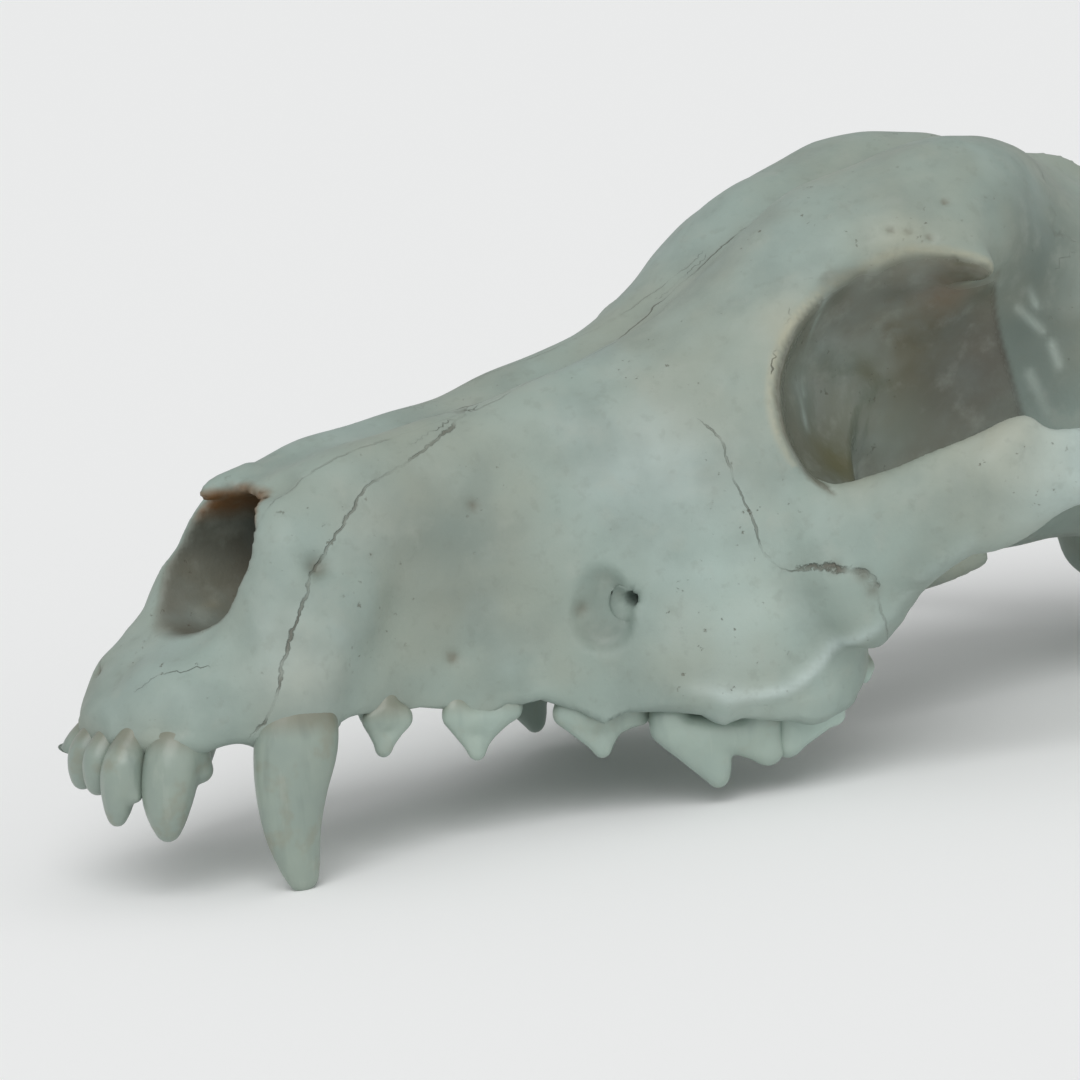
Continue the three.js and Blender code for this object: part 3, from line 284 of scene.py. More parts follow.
# Passages through the bone, cut as rods: nose, throat, spinal cord, palate slits, cheek nerve
NOSE = [
    [2, 0, 25, 8.6], [12, 0, 24, 10.4], [20, 0, 23.8, 10.8], [34, 0, 24.6, 10.8], [50, 0, 27, 9.6],
    [64, 0, 29, 7],
]
THROAT = [[122, 0, 9.5, 3], [129, 0, 12, 6.6], [144, 0, 15, 7.8], [158, 0, 18.5, 7.8], [170, 0, 22, 5]]
SPINE_HOLE = [[252, 0, 35, 10.5], [232, 0, 37, 10]]
PALATE_SLIT = [[13, 4, -4, 1.4], [18, 4.6, -3, 1.7], [23, 4.8, -2, 1.4]]
CHEEK_HOLE = [
    [80, 31.5, 15.4, 1], [84, 28.9, 16.4, 1.5], [88, 27, 17.6, 1.9], [98, 26.5, 20, 2.6],
    [114, 27, 28, 4],
]

# Rounded forms: the hollow of the eye, the ear's bulb and the neck's joint. Centre, half sizes, turn
EYE_HOLLOW = [[138, 43, 49.5], [28.5, 26, 23.5], 12]
EAR_BULB = [[221, 22.5, 15.5], [15.5, 10.8, 12.2], 14]
NECK_JOINT = [[241, 13, 25.5], [6.5, 8.5, 9.5], 0]


def lump(x, y, z, centre, half, turn):
    """Distance to an ellipsoid turned about the vertical."""
    s, c = math.sin(math.radians(turn)), math.cos(math.radians(turn))
    dx = (x - centre[0]) * c + (y - centre[1]) * s
    dy = (y - centre[1]) * c - (x - centre[0]) * s
    dz = z - centre[2]
    k0 = np.sqrt((dx / half[0]) ** 2 + (dy / half[1]) ** 2 + (dz / half[2]) ** 2)
    k1 = np.sqrt((dx / half[0] ** 2) ** 2 + (dy / half[1] ** 2) ** 2 + (dz / half[2] ** 2) ** 2)
    return k0 * (k0 - 1) / np.maximum(k1, 1e-6)


def join(a, b, blend):
    """Smooth union of two distances."""
    h = np.clip(0.5 + 0.5 * (b - a) / blend, 0, 1)
    return b * (1 - h) + a * h - blend * h * (1 - h)


def hollowed(a, hollow, blend):
    """Distance a with a hollow cut out and its edge rounded."""
    return -join(-a, hollow, blend)


def bone_distance(x, y, z):
    """Distance to the bone's surface in one x slice, negative inside."""
    a = np.abs(y)
    trough = station(FOREHEAD_TROUGH, x)[0] * np.exp(-(y / 5.0) ** 2)
    f = join(face_distance(x, y, z + trough), section_body(x, a, z + trough, BRAIN), 4)
    f = join(f, bar(x, a, z, TOP_CREST), 4)
    f = join(f, bar(x, a, z, INCISOR_RIDGE), 4.5)
    f = join(f, rod(x, a, z, CANINE_ROOT), 5)
    f = join(f, rod(x, a, z, BROW_POINT), 3)
    f = hollowed(f, lump(x, a, z, *EYE_HOLLOW), 2.5)
    f = join(f, bar(x, a, z, CHEEK_ARCH), 4)
    f = join(f, rod(x, a, z, CHEEK_POINT), 3)
    f = join(f, bar(x, a, z, NAPE_CREST), 4)
    f = join(f, lump(x, a, z, *EAR_BULB), 2)
    f = join(f, rod(x, a, z, NECK_HORN), 3)
    f = join(f, lump(x, a, z, *NECK_JOINT), 2)
    f = join(f, bar(x, a, z, JAW_STOP), 2.5)
    f = join(f, rod(x, a, z, PALATE_HOOK), 2)
    f = hollowed(f, rod(x, y, z, NASAL_BREAK), 1)
    f = join(f, rod(x, y, z, NASAL_TONGUE), 1.5)
    for hollow in (NOSE, THROAT, SPINE_HOLE):
        f = hollowed(f, rod(x, a, z, hollow), 1.5)
    f = hollowed(f, rod(x, a, z, CHEEK_HOLE), 1.0)
    return hollowed(f, rod(x, a, z, PALATE_SLIT), 0.8)


def slice_values(x, ys, zs, step):
    """One x slice: distances near the surface are exact, elsewhere only their sign is."""
    skip = 4
    gy, gz = np.meshgrid(ys[::skip], zs[::skip], indexing="ij")
    v = bone_distance(x, gy.astype(np.float32).ravel(), gz.astype(np.float32).ravel()).reshape(gy.shape)
    while skip > 1:
        half = skip // 2
        near = np.abs(v) < skip * step * 1.25 + 0.6
        shape = ((v.shape[0] - 1) * 2 + 1, (v.shape[1] - 1) * 2 + 1)
        finer = np.repeat(np.repeat(v, 2, 0), 2, 1)[:shape[0], :shape[1]].copy()
        todo = np.zeros(shape, bool)
        todo[::2, ::2] = near
        todo[1:] |= todo[:-1].copy()
        todo[:-1] |= todo[1:].copy()
        todo[:, 1:] |= todo[:, :-1].copy()
        todo[:, :-1] |= todo[:, 1:].copy()
        todo[::2, ::2] = False
        i, j = np.nonzero(todo)
        if len(i):
            across, height = ys[::half][i], zs[::half][j]
            finer[i, j] = bone_distance(x, across.astype(np.float32), height.astype(np.float32))
        v = finer
        skip = half
    return v


def bone_grid(step):
    """Distances on a grid over the whole skull; both halves are measured only near the nose."""
    xs = -8 + step * np.arange(int(270 / step) + 1)
    ys = step * np.arange(int(math.ceil(78 / step / 4)) * 4 + 1)
    zs = -12 + step * np.arange(int(math.ceil(106 / step / 4)) * 4 + 1)
    slices = []
    for x in xs:
        right = slice_values(float(x), ys, zs, step)
        left = slice_values(float(x), -ys, zs, step) if x < 42 else right
        slices.append(np.concatenate([left[:0:-1], right]))
    return xs, np.concatenate([-ys[:0:-1], ys]), zs, np.stack(slices)


def surface_of(xs, ys, zs, values):
    """Surface nets: a vertex in each cell the surface crosses, a quad on each crossed edge."""
    inside = values < 0
    cells = tuple(n - 1 for n in values.shape)
    total = np.zeros(cells + (3,), np.float32)
    count = np.zeros(cells, np.float32)
    edges = []
    for axis in range(3):
        low = [slice(None)] * 3
        high = [slice(None)] * 3
        low[axis] = slice(0, -1)
        high[axis] = slice(1, None)
        crossed = inside[tuple(low)] != inside[tuple(high)]
        at = np.argwhere(crossed)
        a = values[tuple(low)][crossed]
        b = values[tuple(high)][crossed]
        point = at.astype(np.float32)
        point[:, axis] += a / (a - b)
        others = [k for k in range(3) if k != axis]
        for d0 in (0, -1):
            for d1 in (0, -1):
                cell = at.copy()
                cell[:, others[0]] += d0
                cell[:, others[1]] += d1
                ok = np.all((cell >= 0) & (cell < np.array(cells)), 1)
                key = tuple(cell[ok].T)
                np.add.at(total, key, point[ok])
                np.add.at(count, key, 1)
        edges.append((axis, at, inside[tuple(low)][crossed]))
    used = count > 0
    index = np.full(cells, -1, np.int64)
    index[used] = np.arange(used.sum())
    step = xs[1] - xs[0]
    points = total[used] / count[used][:, None] * step + np.array([xs[0], ys[0], zs[0]])
    quads = []
    for axis, at, was_inside in edges:
        o0, o1 = (axis + 1) % 3, (axis + 2) % 3
        ok = (at[:, o0] > 0) & (at[:, o1] > 0) & (at[:, o0] < cells[o0]) & (at[:, o1] < cells[o1])
        at, was_inside = at[ok], was_inside[ok]
        corners = []
        for d0, d1 in ((-1, -1), (0, -1), (0, 0), (-1, 0)):
            cell = at.copy()
            cell[:, o0] += d0
            cell[:, o1] += d1
            corners.append(index[cell[:, 0], cell[:, 1], cell[:, 2]])
        quad = np.stack(corners, 1)
        quad[~was_inside] = quad[~was_inside][:, ::-1]
        quads.append(quad)
    return points, np.vstack(quads)


def vertex_normals(points, quads):
    """Area-weighted normals of a quad mesh."""
    d = np.cross(points[quads[:, 2]] - points[quads[:, 0]], points[quads[:, 3]] - points[quads[:, 1]])
    n = np.zeros_like(points)
    for k in range(4):
        np.add.at(n, quads[:, k], d)
    return n / np.maximum(np.linalg.norm(n, axis=1, keepdims=True), 1e-12)


def relaxed(points, quads, rounds):
    """Each vertex moves half way to the mean of its neighbours, then back a little more."""
    for amount in (0.5, -0.52) * rounds:
        total = np.zeros_like(points)
        count = np.zeros(len(points))
        for k in range(4):
            for other in (1, 3):
                np.add.at(total, quads[:, k], points[quads[:, (k + other) % 4]])
                np.add.at(count, quads[:, k], 1)
        points = points + amount * (total / count[:, None] - points)
    return points


# Cell size of the surface in mm
FINE = 0.85
points, quads = surface_of(*bone_grid(FINE))
points = relaxed(points.astype(float), quads, 2)
normals = vertex_normals(points, quads)
half_side = np.abs(points * [0, 1, 0]) + points * [1, 0, 1]
behind, aside, above = half_side.T

# Wear and small forms on the surface, all left and right: x, y, z, reach, depth. A negative
# depth is a swelling. They stand for root swellings, hollows, pits and nutrient holes.
SMALL_FORMS = [
    [78.5, 25, 15.8, 1.2, 0.8], [88.5, 29.5, 18, 3.0, -0.8], [86, 28, 24, 3.0, -0.6],
    [34.3, 17.4, 24.8, 1.9, 1.8], [30.5, 17, 27.3, 0.9, 0.6],
    [63, 16.3, 32.5, 1.2, 0.5], [57.5, 19.4, 8.4, 1.2, 0.6],
    [10.4, 0.4, 9.9, 0.9, 0.6], [9.1, 0.5, 8.9, 0.9, 0.6], [6.9, 7.5, 6.6, 1.1, 0.7],
    [1.8, 6.1, 2.2, 0.8, 0.5], [27.5, 20.5, 1.8, 0.9, 0.8], [31.0, 20.8, 1.6, 0.9, 0.7],
    [77.8, 24.6, 15, 1.2, 0.7], [81.7, 24.8, 11.1, 1.5, 0.7], [82.8, 24, 14.4, 1.3, -0.5],
    [132.3, 26.6, 73.8, 0.8, 0.5], [136, 27.4, 75.4, 0.9, 0.5], [138.9, 28.6, 74.9, 0.8, 0.5],
    [142.2, 29.9, 73.7, 0.9, 0.5], [147.3, 27, 79.9, 0.9, 0.5], [146.6, 30.9, 69.6, 0.8, 0.5],
    [58.2, 19.5, 4, 2.6, -0.5], [66.9, 21.5, 4, 2.6, -0.5], [77, 24.5, 4, 2.8, -0.5],
    [87, 28.5, 4, 3, -0.5], [92, 32, 3, 3, -0.4], [106, 37.5, 1.5, 3, -0.5],
    [113.8, 27.6, 60.5, 1.4, 0.9], [113.2, 28.2, 57.2, 1.2, 0.9], [117.2, 25.7, 66.0, 1.2, 0.7],
    [119.9, 47.3, 18.4, 1.6, 0.6], [118.2, 47.1, 20.9, 1.5, 0.8], [114.1, 45.1, 22.2, 1.4, 0.5],
]
# The ridge under the cheek that the chewing muscle hung from, and the hollow before the cheek hole
CHEEK_RIDGE = [[88, 2.6], [94.6, 2.3], [101.7, 1.3], [107, 1.8], [110.6, 3], [114.2, 5.9], [117.1, 9.6],
               [122.5, 13.6], [127.3, 20], [134.5, 26]]
SOCKET_EDGE = [[36, 0], [42, 0.3], [46, -0.3], [52, 0.6], [59, 0.2], [62.1, -1.7], [65.2, 0.3], [71.5, 2.0],
               [77.5, 0.2], [80.8, -1.7], [84, 0.2], [91, 0.5], [95.5, 0.1], [98.4, -1.5], [101.5, 0.1],
               [110.5, 0.7], [114, 0], [119, 0.4], [122, 0]]


def spot(x, y, z, reach):
    """1 at a place and its mirror image, falling to nothing at about twice the reach."""
    return np.exp(-((half_side - [x, y, z]) ** 2).sum(1) / reach ** 2)


def off_path(rows, axes=(1, 1, 1)):
    """Distance of each vertex from a path on its own side, along the axes that count."""
    path = smooth_path(rows, 3)
    far = np.full(len(points), 1e9)
    for p0, p1 in zip(path[:-1], path[1:]):
        t = np.clip(((half_side - p0) * axes) @ (p1 - p0) / ((p1 - p0) @ (p1 - p0)), 0, 1)
        far = np.minimum(far, np.linalg.norm((half_side - p0 - t[:, None] * (p1 - p0)) * axes, axis=1))
    return far


# Bone is never quite even: swells of a quarter of a millimetre, 7 to 24 mm apart
chance = np.random.default_rng(7)
for apart in (24, 16, 11, 7) * 3:
    heading = chance.normal(size=3)
    wave = half_side @ (heading / np.linalg.norm(heading)) * (2 * math.pi / apart) + chance.uniform(0, 6)
    points += normals * (0.007 * apart * np.sin(wave))[:, None] * (points[:, 2:] > -1)
# The upper rim of the eye socket arches up in the middle
rim_middle = ((half_side - [138, 27.5, 70.5]) / [10, 6, 3.2]) ** 2
points[:, 2] += 1.3 * np.exp(-rim_middle.sum(1))
edge = np.array(SOCKET_EDGE)
brink = np.interp(behind, [62, 76, 88, 100, 108, 115, 121], [0.5, -0.6, -1.2, -2.4, -4.2, -5, -3.6])
low_edge = np.clip(1 - (above - brink) / 5, 0, 1) * (aside > 14) * (behind > 34)
points[:, 2] += np.interp(behind, edge[:, 0], edge[:, 1], 0, 0) * low_edge
outer = aside > 30 + 20 * (above > 18)
off_ridge = np.where(outer, off_path([[x, 0, z] for x, z in CHEEK_RIDGE], [1, 0, 1]), 9)
lip = np.interp(behind, [88, 98, 118, 126], [0, 0.8, 0.8, 0.35])
points += normals * (lip * np.exp(-(off_ridge / 1.6) ** 2))[:, None]
recess = np.sqrt(((behind - 80.6) / 5.2) ** 2 + ((above - 15.6) / 6.8) ** 2)
recess_end = 85.6 - 0.03 * (above - 15) ** 2
recess = np.clip((1.1 - recess) / 0.35, 0, 1) * np.clip((recess_end - behind) / 0.9, 0, 1)
recess *= aside > 20
recess *= np.clip((behind - 74.5 - 0.25 * (above - 10)) / 4, 0, 1)
points -= normals * (2.0 * recess)[:, None]
for x, y, z, reach, depth in SMALL_FORMS:
    share = spot(x, y, z, reach)
    share[share < math.exp(-9)] = 0
    points -= normals * (depth * share)[:, None]
normals = vertex_normals(points, quads)

# The skull leans back until it rests on the left canine's worn tip and the two horns beside the
# neck; the right canine is broken short. At rest its middle is half way along it.
MIDDLE_X = 130.09
FANG_REST_X = 28.7
FANG_REST_Z = -26.05
HORN_REST_X = 239
HORN_REST_Z = -1.95
PITCH = math.atan2(HORN_REST_Z - FANG_REST_Z, HORN_REST_X - FANG_REST_X)
PITCH_COS, PITCH_SIN = math.cos(PITCH), math.sin(PITCH)


def posed(p):
    """Millimetres of the skull's own axes to metres of the resting skull; tips worn flat at the floor."""
    p = np.asarray(p, float)
    lift = FANG_REST_X * PITCH_SIN - FANG_REST_Z * PITCH_COS
    z = np.maximum(p[:, 2] * PITCH_COS - p[:, 0] * PITCH_SIN + lift, 0)
    return np.stack([p[:, 0] * PITCH_COS + p[:, 2] * PITCH_SIN - MIDDLE_X, p[:, 1], z], 1) / 1000


def turned(n):
    """Directions of the skull's own axes to those of the resting skull."""
    return np.stack([n[:, 0] * PITCH_COS + n[:, 2] * PITCH_SIN, n[:, 1],
                     n[:, 2] * PITCH_COS - n[:, 0] * PITCH_SIN], 1)


def linear(code):
    """sRGB hex to linear red, green, blue."""
    values = [int(code[i:i + 2], 16) / 255 for i in (1, 3, 5)]
    return np.array([v / 12.92 if v <= 0.04045 else ((v + 0.055) / 1.055) ** 2.4 for v in values])


# The bone's own colours, laid down over the years: pale grey-green all over, creamier on thin
# edges, an olive film of dried skin lining the eye socket. Over them lie painted shade, grey-brown
# inside the nose and darker in hollows, and painted light, paler on upper and rounded faces
BONE_PALE = "#8b9b93"
# Patches of colour, x, y, z, reach, amount. The cream and brownish ones are tints of the bone. The darker
# grey-green ones are painted shade: in the hollow before the canine's root, at the cheek recess, low on the
# maxilla and in the temple's hollow. The paler grey-green ones are painted light: on the canine's bulge, the
# side of the face, the cheek arch and the forehead.
PATCHES = [
    ["#a7a38d", 118, 27, 60, 7, 0.55], ["#a3a08a", 136, 27, 72.5, 7, 0.5], ["#a7a38d", 140, 55, 44, 8, 0.6],
    ["#a7a38d", 122, 38, 36, 6, 0.5], ["#727e77", 58, 18, 18, 10, 0.55], ["#7d8981", 66, 17, 26, 9, 0.4],
    ["#b0bbb7", 30, 20, 8, 8, 0.5], ["#aab8b5", 92, 26, 41, 10, 0.5], ["#aeb9b3", 46, 14, 30, 8, 0.4],
    ["#7f8b82", 97, 36, 12, 10, 0.35], ["#748179", 82, 24, 13, 4, 0.6], ["#727e75", 172, 18, 60, 16, 0.75],
    ["#808c81", 168, 21, 76, 9, 0.4], ["#948d73", 9, 10, -2, 5, 0.3], ["#9da599", 70, 10, 46, 12, 0.3],
    ["#a49c82", 200, 60, 32, 10, 0.3], ["#959079", 235, 15, 40, 14, 0.35], ["#8e8b75", 145, 0, 20, 20, 0.5],
    ["#b9cbc8", 152, 60, 38, 14, 0.7], ["#a8bbb4", 104, 36, 16, 12, 0.7], ["#68746c", 54, 17, 27, 9, 0.5],
    ["#7b867d", 56, 17, 36, 8, 0.35], ["#5f6b64", 169, 21, 72, 14, 0.65], ["#55615a", 172, 19, 56, 13, 0.65],
    ["#97a6a0", 118, 12, 74, 16, 0.4], ["#a6b8b1", 113, 37, 2, 7, 0.5],
]
tone = np.tile(linear(BONE_PALE), (len(points), 1))


def painted(tone, amount, code):
    """Colour laid over the tone by an amount per vertex."""
    amount = np.clip(amount, 0, 1)[:, None]
    return tone * (1 - amount) + linear(code) * amount


def off_rod(path):
    """Distance of each vertex from a round rod's surface."""
    a = np.asarray(path, float)
    d = np.full(len(points), 1e9)
    for p0, p1 in zip(a[:-1], a[1:]):
        e = p1[:3] - p0[:3]
        w = half_side - p0[:3]
        t = np.clip((w @ e) / (e @ e), 0, 1)
        off = np.linalg.norm(w - t[:, None] * e, axis=1)
        d = np.minimum(d, off - (p0[3] + (p1[3] - p0[3]) * t))
    return d


centre, half, turn = EYE_HOLLOW
s, c = math.sin(math.radians(turn)), math.cos(math.radians(turn))
dx = (behind - centre[0]) * c + (aside - centre[1]) * s
dy = (aside - centre[1]) * c - (behind - centre[0]) * s
dz = above - centre[2]
socket_r = np.sqrt((dx / half[0]) ** 2 + (dy / half[1]) ** 2 + (dz / half[2]) ** 2)
# The dried film in the eye socket ends behind at a straight line down the braincase wall. It starts
# a little above the socket's floor and stops short of the arch and of the brow.
FILM_LOWEST, FILM_OUTERMOST = 27, 43
WALL_OUTERMOST, WALL_FOREMOST, WALL_HIGHEST = 27, 122, 69.5
film_edge = 164 - 0.45 * (above - 54.6)
arch = np.array(CHEEK_ARCH[::-1], float)
arch_y, arch_z, tall, thick = (np.interp(behind, arch[:, 0], arch[:, k]) for k in (1, 2, 3, 4))
off_arch = np.maximum(np.abs(aside - arch_y) - thick, above - arch_z - tall)
film = np.clip((1.05 - socket_r) / 0.03, 0, 1)
film *= np.where(behind > 116, np.clip((off_arch - 0.6) / 0.8, 0, 1), 1)
film *= np.clip((FILM_OUTERMOST - aside) / 2, 0, 1)
wall = np.clip((WALL_OUTERMOST - aside) / 2, 0, 1) * np.clip((behind - WALL_FOREMOST) / 2, 0, 1)
wall *= np.clip((WALL_HIGHEST - above) / 1.5, 0, 1) * np.clip((0.45 - normals[:, 2]) / 0.2, 0, 1)
film = np.maximum(film, wall) * np.clip((above - FILM_LOWEST) / 3, 0, 1)
edge_line = film * np.exp(-((behind - film_edge) / 0.6) ** 2)
film *= np.clip((film_edge - behind) / 0.9 + 0.5, 0, 1)
for code, x, y, z, reach, amount in PATCHES:
    tone = painted(tone, amount * spot(x, y, z, reach), code)
# Painted highlight: a pale band along the crest of the ridge under the cheek, where light falls on it
ridge_highlight = np.exp(-(off_ridge / 1.1) ** 2)
ridge_highlight *= np.interp(behind, [90, 98, 118, 122], [0, 0.75, 0.75, 0.15])
tone = painted(tone, ridge_highlight, "#c0d0cd")
# Painted shade: the recess before the cheek hole is darkened
tone = painted(tone, 0.6 * recess, "#6d7c74")
socket_rim = np.clip(1 - np.abs(socket_r - 1.06) / 0.04, 0, 1) * (above > 38)
tone = painted(tone, 0.6 * socket_rim, "#aaa78f")
# Painted shade: the deeper pits and holes are darkened inside
for x, y, z, reach, depth in SMALL_FORMS:
    if depth > 0.45:
        tone = painted(tone, 0.8 * spot(x, y, z, 0.75 * reach), "#575141")
# Inside the nose painted shade turns the bone grey-brown, and painted light makes it amber up high where the
# thin nasal bones let light through
nose_depth = np.clip(0.9 - off_rod(NOSE) / 1.6, 0, 1)
tone = painted(tone, 0.95 * nose_depth, "#514d41")
tone = painted(tone, nose_depth * np.clip((points[:, 2] - 29) / 3, 0, 1), "#7d5220")
tone = painted(tone, film * 0.97, "#63665a")
# The film's olive, grey-green and orange-brown tints, darkest at the socket's deep middle, where the
# darkening is painted shade
for code, x, y, z, reach, amount in (
        ("#413d27", 147, 17.5, 54.5, 12, 0.95), ("#6b4a2a", 148, 24.6, 64.6, 5, 0.65),
        ("#6d786d", 135, 17, 46, 9, 0.8), ("#55534a", 160, 16.5, 51, 9, 0.8),
        ("#585636", 128.6, 22.2, 36.5, 6, 0.85), ("#6f7c75", 122.7, 21, 50, 6, 0.8),
        ("#6f7a6c", 144, 14, 41, 8, 0.6), ("#4d4c33", 142.9, 20, 52.7, 9, 0.7)):
    tone = painted(tone, film * amount * spot(x, y, z, reach), code)
# A dark line along the film's back edge: the film's rim, deepened by painted shade along the ridge that runs
# there
tone = painted(tone, 0.7 * edge_line, "#47443a")
# Pale streaks along the socket's front wall are painted highlights, reflections on the glossy
# film; behind its edge are chalky smudges on the bone, and inside the nose a painted highlight
# on a ledge
for code, wide, rows in (
        # Painted highlights: reflections on the glossy film down the socket's front wall
        ("#99a7a1", 0.7, [[125.5, 27.5, 67], [123.4, 24.6, 60], [122.4, 21.8, 50], [123.4, 21, 42]]),
        ("#8f9d97", 0.6, [[124.4, 25.4, 66], [124.2, 22, 57], [123.6, 20.2, 48]]),
        ("#a9b5ae", 0.9, [[157.5, 25, 66.5], [160.5, 23, 65.5]]),
        ("#a3b0a8", 0.8, [[166, 21.6, 60.5], [171.5, 20.7, 56.5]]),
        ("#a9b6ae", 0.9, [[173.5, 20.6, 54], [175, 20.4, 50.5]]),
        ("#a3b0a8", 1.0, [[170, 19, 49], [174, 19, 42]]),
        ("#9fada5", 0.8, [[168, 21, 64], [170, 21, 61]]),
        # Painted highlight on a ledge inside the nose
        ("#b0a78a", 1.0, [[25.2, 8.2, 15], [27.8, 8.6, 15.6]])):
    tone = painted(tone, 0.75 * np.exp(-(off_path(rows) / wide) ** 2), code)

# Lines on the bone: sutures, cracks and the trough's thin middle line. Each is a path of
# x, y, z on one side, with its half width in mm and its darkness.
LINES = [
    [True, 0.24, 0.95, "y", [[21.5, 20, -0.5], [23.5, 20, 3.5], [27, 20, 13], [31.5, 19, 21], [35, 17.5, 26],
                             [41, 16, 32], [45, 15, 36.5], [51, 14, 39], [59, 12, 43], [67, 10, 48]]],
    [True, 0.2, 0.6, "y", [[100.5, 28, 44.5], [102.3, 29.5, 42], [102.6, 32.6, 35.8], [103.7, 34.9, 31.4],
                           [104.5, 36.3, 28], [105.9, 38, 23.2], [108.9, 39.5, 21.5], [112, 43, 22]]],
    [True, 0.5, 1.0, "y", [[110, 41, 22.2], [114.1, 45.1, 22.3], [118.2, 47.1, 21.1], [119.9, 47.3, 18.4]]],
    [True, 0.22, 0.3, "y", [[119.9, 47.3, 18.4], [121.2, 46.3, 14.8], [124.5, 42, 9]]],
    [False, 0.26, 0.8, "z", [[48, 0, 42], [66, 0.2, 44], [88, -0.2, 51], [110, 0.2, 63], [134, 0, 78]]],
    [False, 0.26, 0.3, "z", [[134, 0, 78], [160, 0, 88]]],
    [True, 0.2, 0.3, "z", [[27, 10, 35], [40, 9.6, 40], [56, 9, 43.6], [72, 8.2, 50], [100, 5.5, 60],
                           [116, 2.8, 72]]],
    [True, 0.45, 1.0, "", [[117.6, 25.5, 66.6], [116.6, 26.4, 65.0], [116.6, 26.6, 63.0]]],
    [True, 0.5, 1.0, "", [[116.4, 27.2, 61.6], [115, 27.6, 59.8], [113.6, 28.3, 56.7], [112.6, 28.6, 54]]],
    [True, 0.35, 0.6, "", [[6.9, 7.5, 6.6], [10.6, 10.4, 8.7], [15.1, 13.7, 10]]],
    [True, 0.4, 0.8, "", [[102.5, 36.5, 1.6], [104, 37, -0.4], [104.2, 37, -2]]],
    [True, 0.35, 0.8, "", [[106.2, 37.3, 2], [104.8, 37, 0.4], [104, 37, -0.4]]],
    [True, 0.26, 0.3, "x", [[178, 0, 86], [177, 12, 84], [173, 20, 74], [170, 17.5, 58], [169, 17, 46]]],
    [True, 0.26, 0.3, "", [[171, 68.5, 44], [162, 66, 38], [152, 61, 32]]],
    [True, 0.26, 0.3, "", [[184, 25, 46], [191, 31, 57], [206, 34.5, 60], [220, 33.5, 56], [231, 30, 48]]],
]
line_side = np.full(len(points), 9.0)
line_far = np.full(len(points), 9.0)
line_dark = np.zeros(len(points))
for both, wide, dark, ignored, path in LINES:
    p = smooth_path(path, 3)
    where = half_side if both else points
    keep = np.array([axis != ignored for axis in "xyz"], float)
    outward = normals * (np.where(points[:, 1:2] < 0, [1, -1, 1], [1, 1, 1]) if both else 1)
    near = np.abs(where - (p.min(0) + p.max(0)) / 2).max(1) < (p.max(0) - p.min(0)).max() / 2 + 12
    for p0, p1 in zip(p[:-1], p[1:]):
        e = (p1 - p0) * keep
        w = (where[near] - p0) * keep
        t = np.clip((w @ e) / max(e @ e, 1e-9), 0, 1)
        off = w - t[:, None] * e
        off_plane = np.abs(where[near] - (p0 + p1) / 2) @ (1 - keep)
        far = np.linalg.norm(off, axis=1) + np.maximum(0, off_plane - 5)
        closer = far < line_far[near]
        side = np.sign((np.cross(np.broadcast_to(p1 - p0, off.shape), outward[near]) * off).sum(1))
        taken = np.nonzero(near)[0][closer]
        line_side[taken] = (far * side)[closer] / wide
        line_far[taken] = far[closer]
        line_dark[taken] = dark


def piece(name, points, quads, normals, attributes, material):
    """A mesh piece in metres with its own normals and attributes; it rides with the skull."""
    used, compact = np.unique(quads, return_inverse=True)
    faces = compact.reshape(quads.shape)
    mesh = bpy.data.meshes.new(name)
    mesh.from_pydata(posed(points[used]).tolist(), [], faces.tolist())
    for key, values in attributes.items():
        if values.ndim == 2:
            layer = mesh.attributes.new(key, "FLOAT_COLOR", "POINT")
            layer.data.foreach_set("color", np.c_[values[used], np.ones(len(used))].ravel())
        else:
            layer = mesh.attributes.new(key, "FLOAT", "POINT")
            layer.data.foreach_set("value", values[used])
    mesh.polygons.foreach_set("use_smooth", [True] * len(faces))
    mesh.normals_split_custom_set_from_vertices(turned(normals[used]).tolist())
    made = bpy.data.objects.new(name, mesh)
    bpy.context.scene.collection.objects.link(made)
    made.data.materials.append(material)
    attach(made, "root")
    return made


def add_node(tree, kind, settings=None, links=None):
    """Adds a shader node with its settings and its inputs, each a value or another node's output."""
    node = tree.nodes.new("ShaderNode" + kind)
    for key, value in (settings or {}).items():
        setattr(node, key, value)
    for key, value in (links or {}).items():
        if isinstance(value, bpy.types.NodeSocket):
            tree.links.new(value, node.inputs[key])
        else:
            node.inputs[key].default_value = value
    return node


SMOOTH = {"interpolation_type": "SMOOTHSTEP"}
MULTIPLY = {"operation": "MULTIPLY"}
MULTIPLY_ADD = {"operation": "MULTIPLY_ADD"}


def noise_scale(size):
    """The noise texture's scale for blotches that are a size in mm across."""
    return 1000 / size / 1.6


# Old dried bone, unbleached: matt and porous, faintly mottled by damp, its sutures full of brown
# dust. The film in the eye socket is the same stuff to the eye but smooth, so it takes a gloss.
bone = bpy.data.materials.new("weathered_bone")
bone.use_nodes = True
tree = bone.node_tree
shader = tree.nodes["Principled BSDF"]
place = add_node(tree, "TexCoord").outputs["Object"]
colour = add_node(tree, "Attribute", {"attribute_name": "tone"}).outputs["Color"]
film_mask, line_side_in, line_far_in, line_dark_in = (
    add_node(tree, "Attribute", {"attribute_name": mark}).outputs["Fac"]
    for mark in ("film", "line_side", "line_far", "line_dark"))

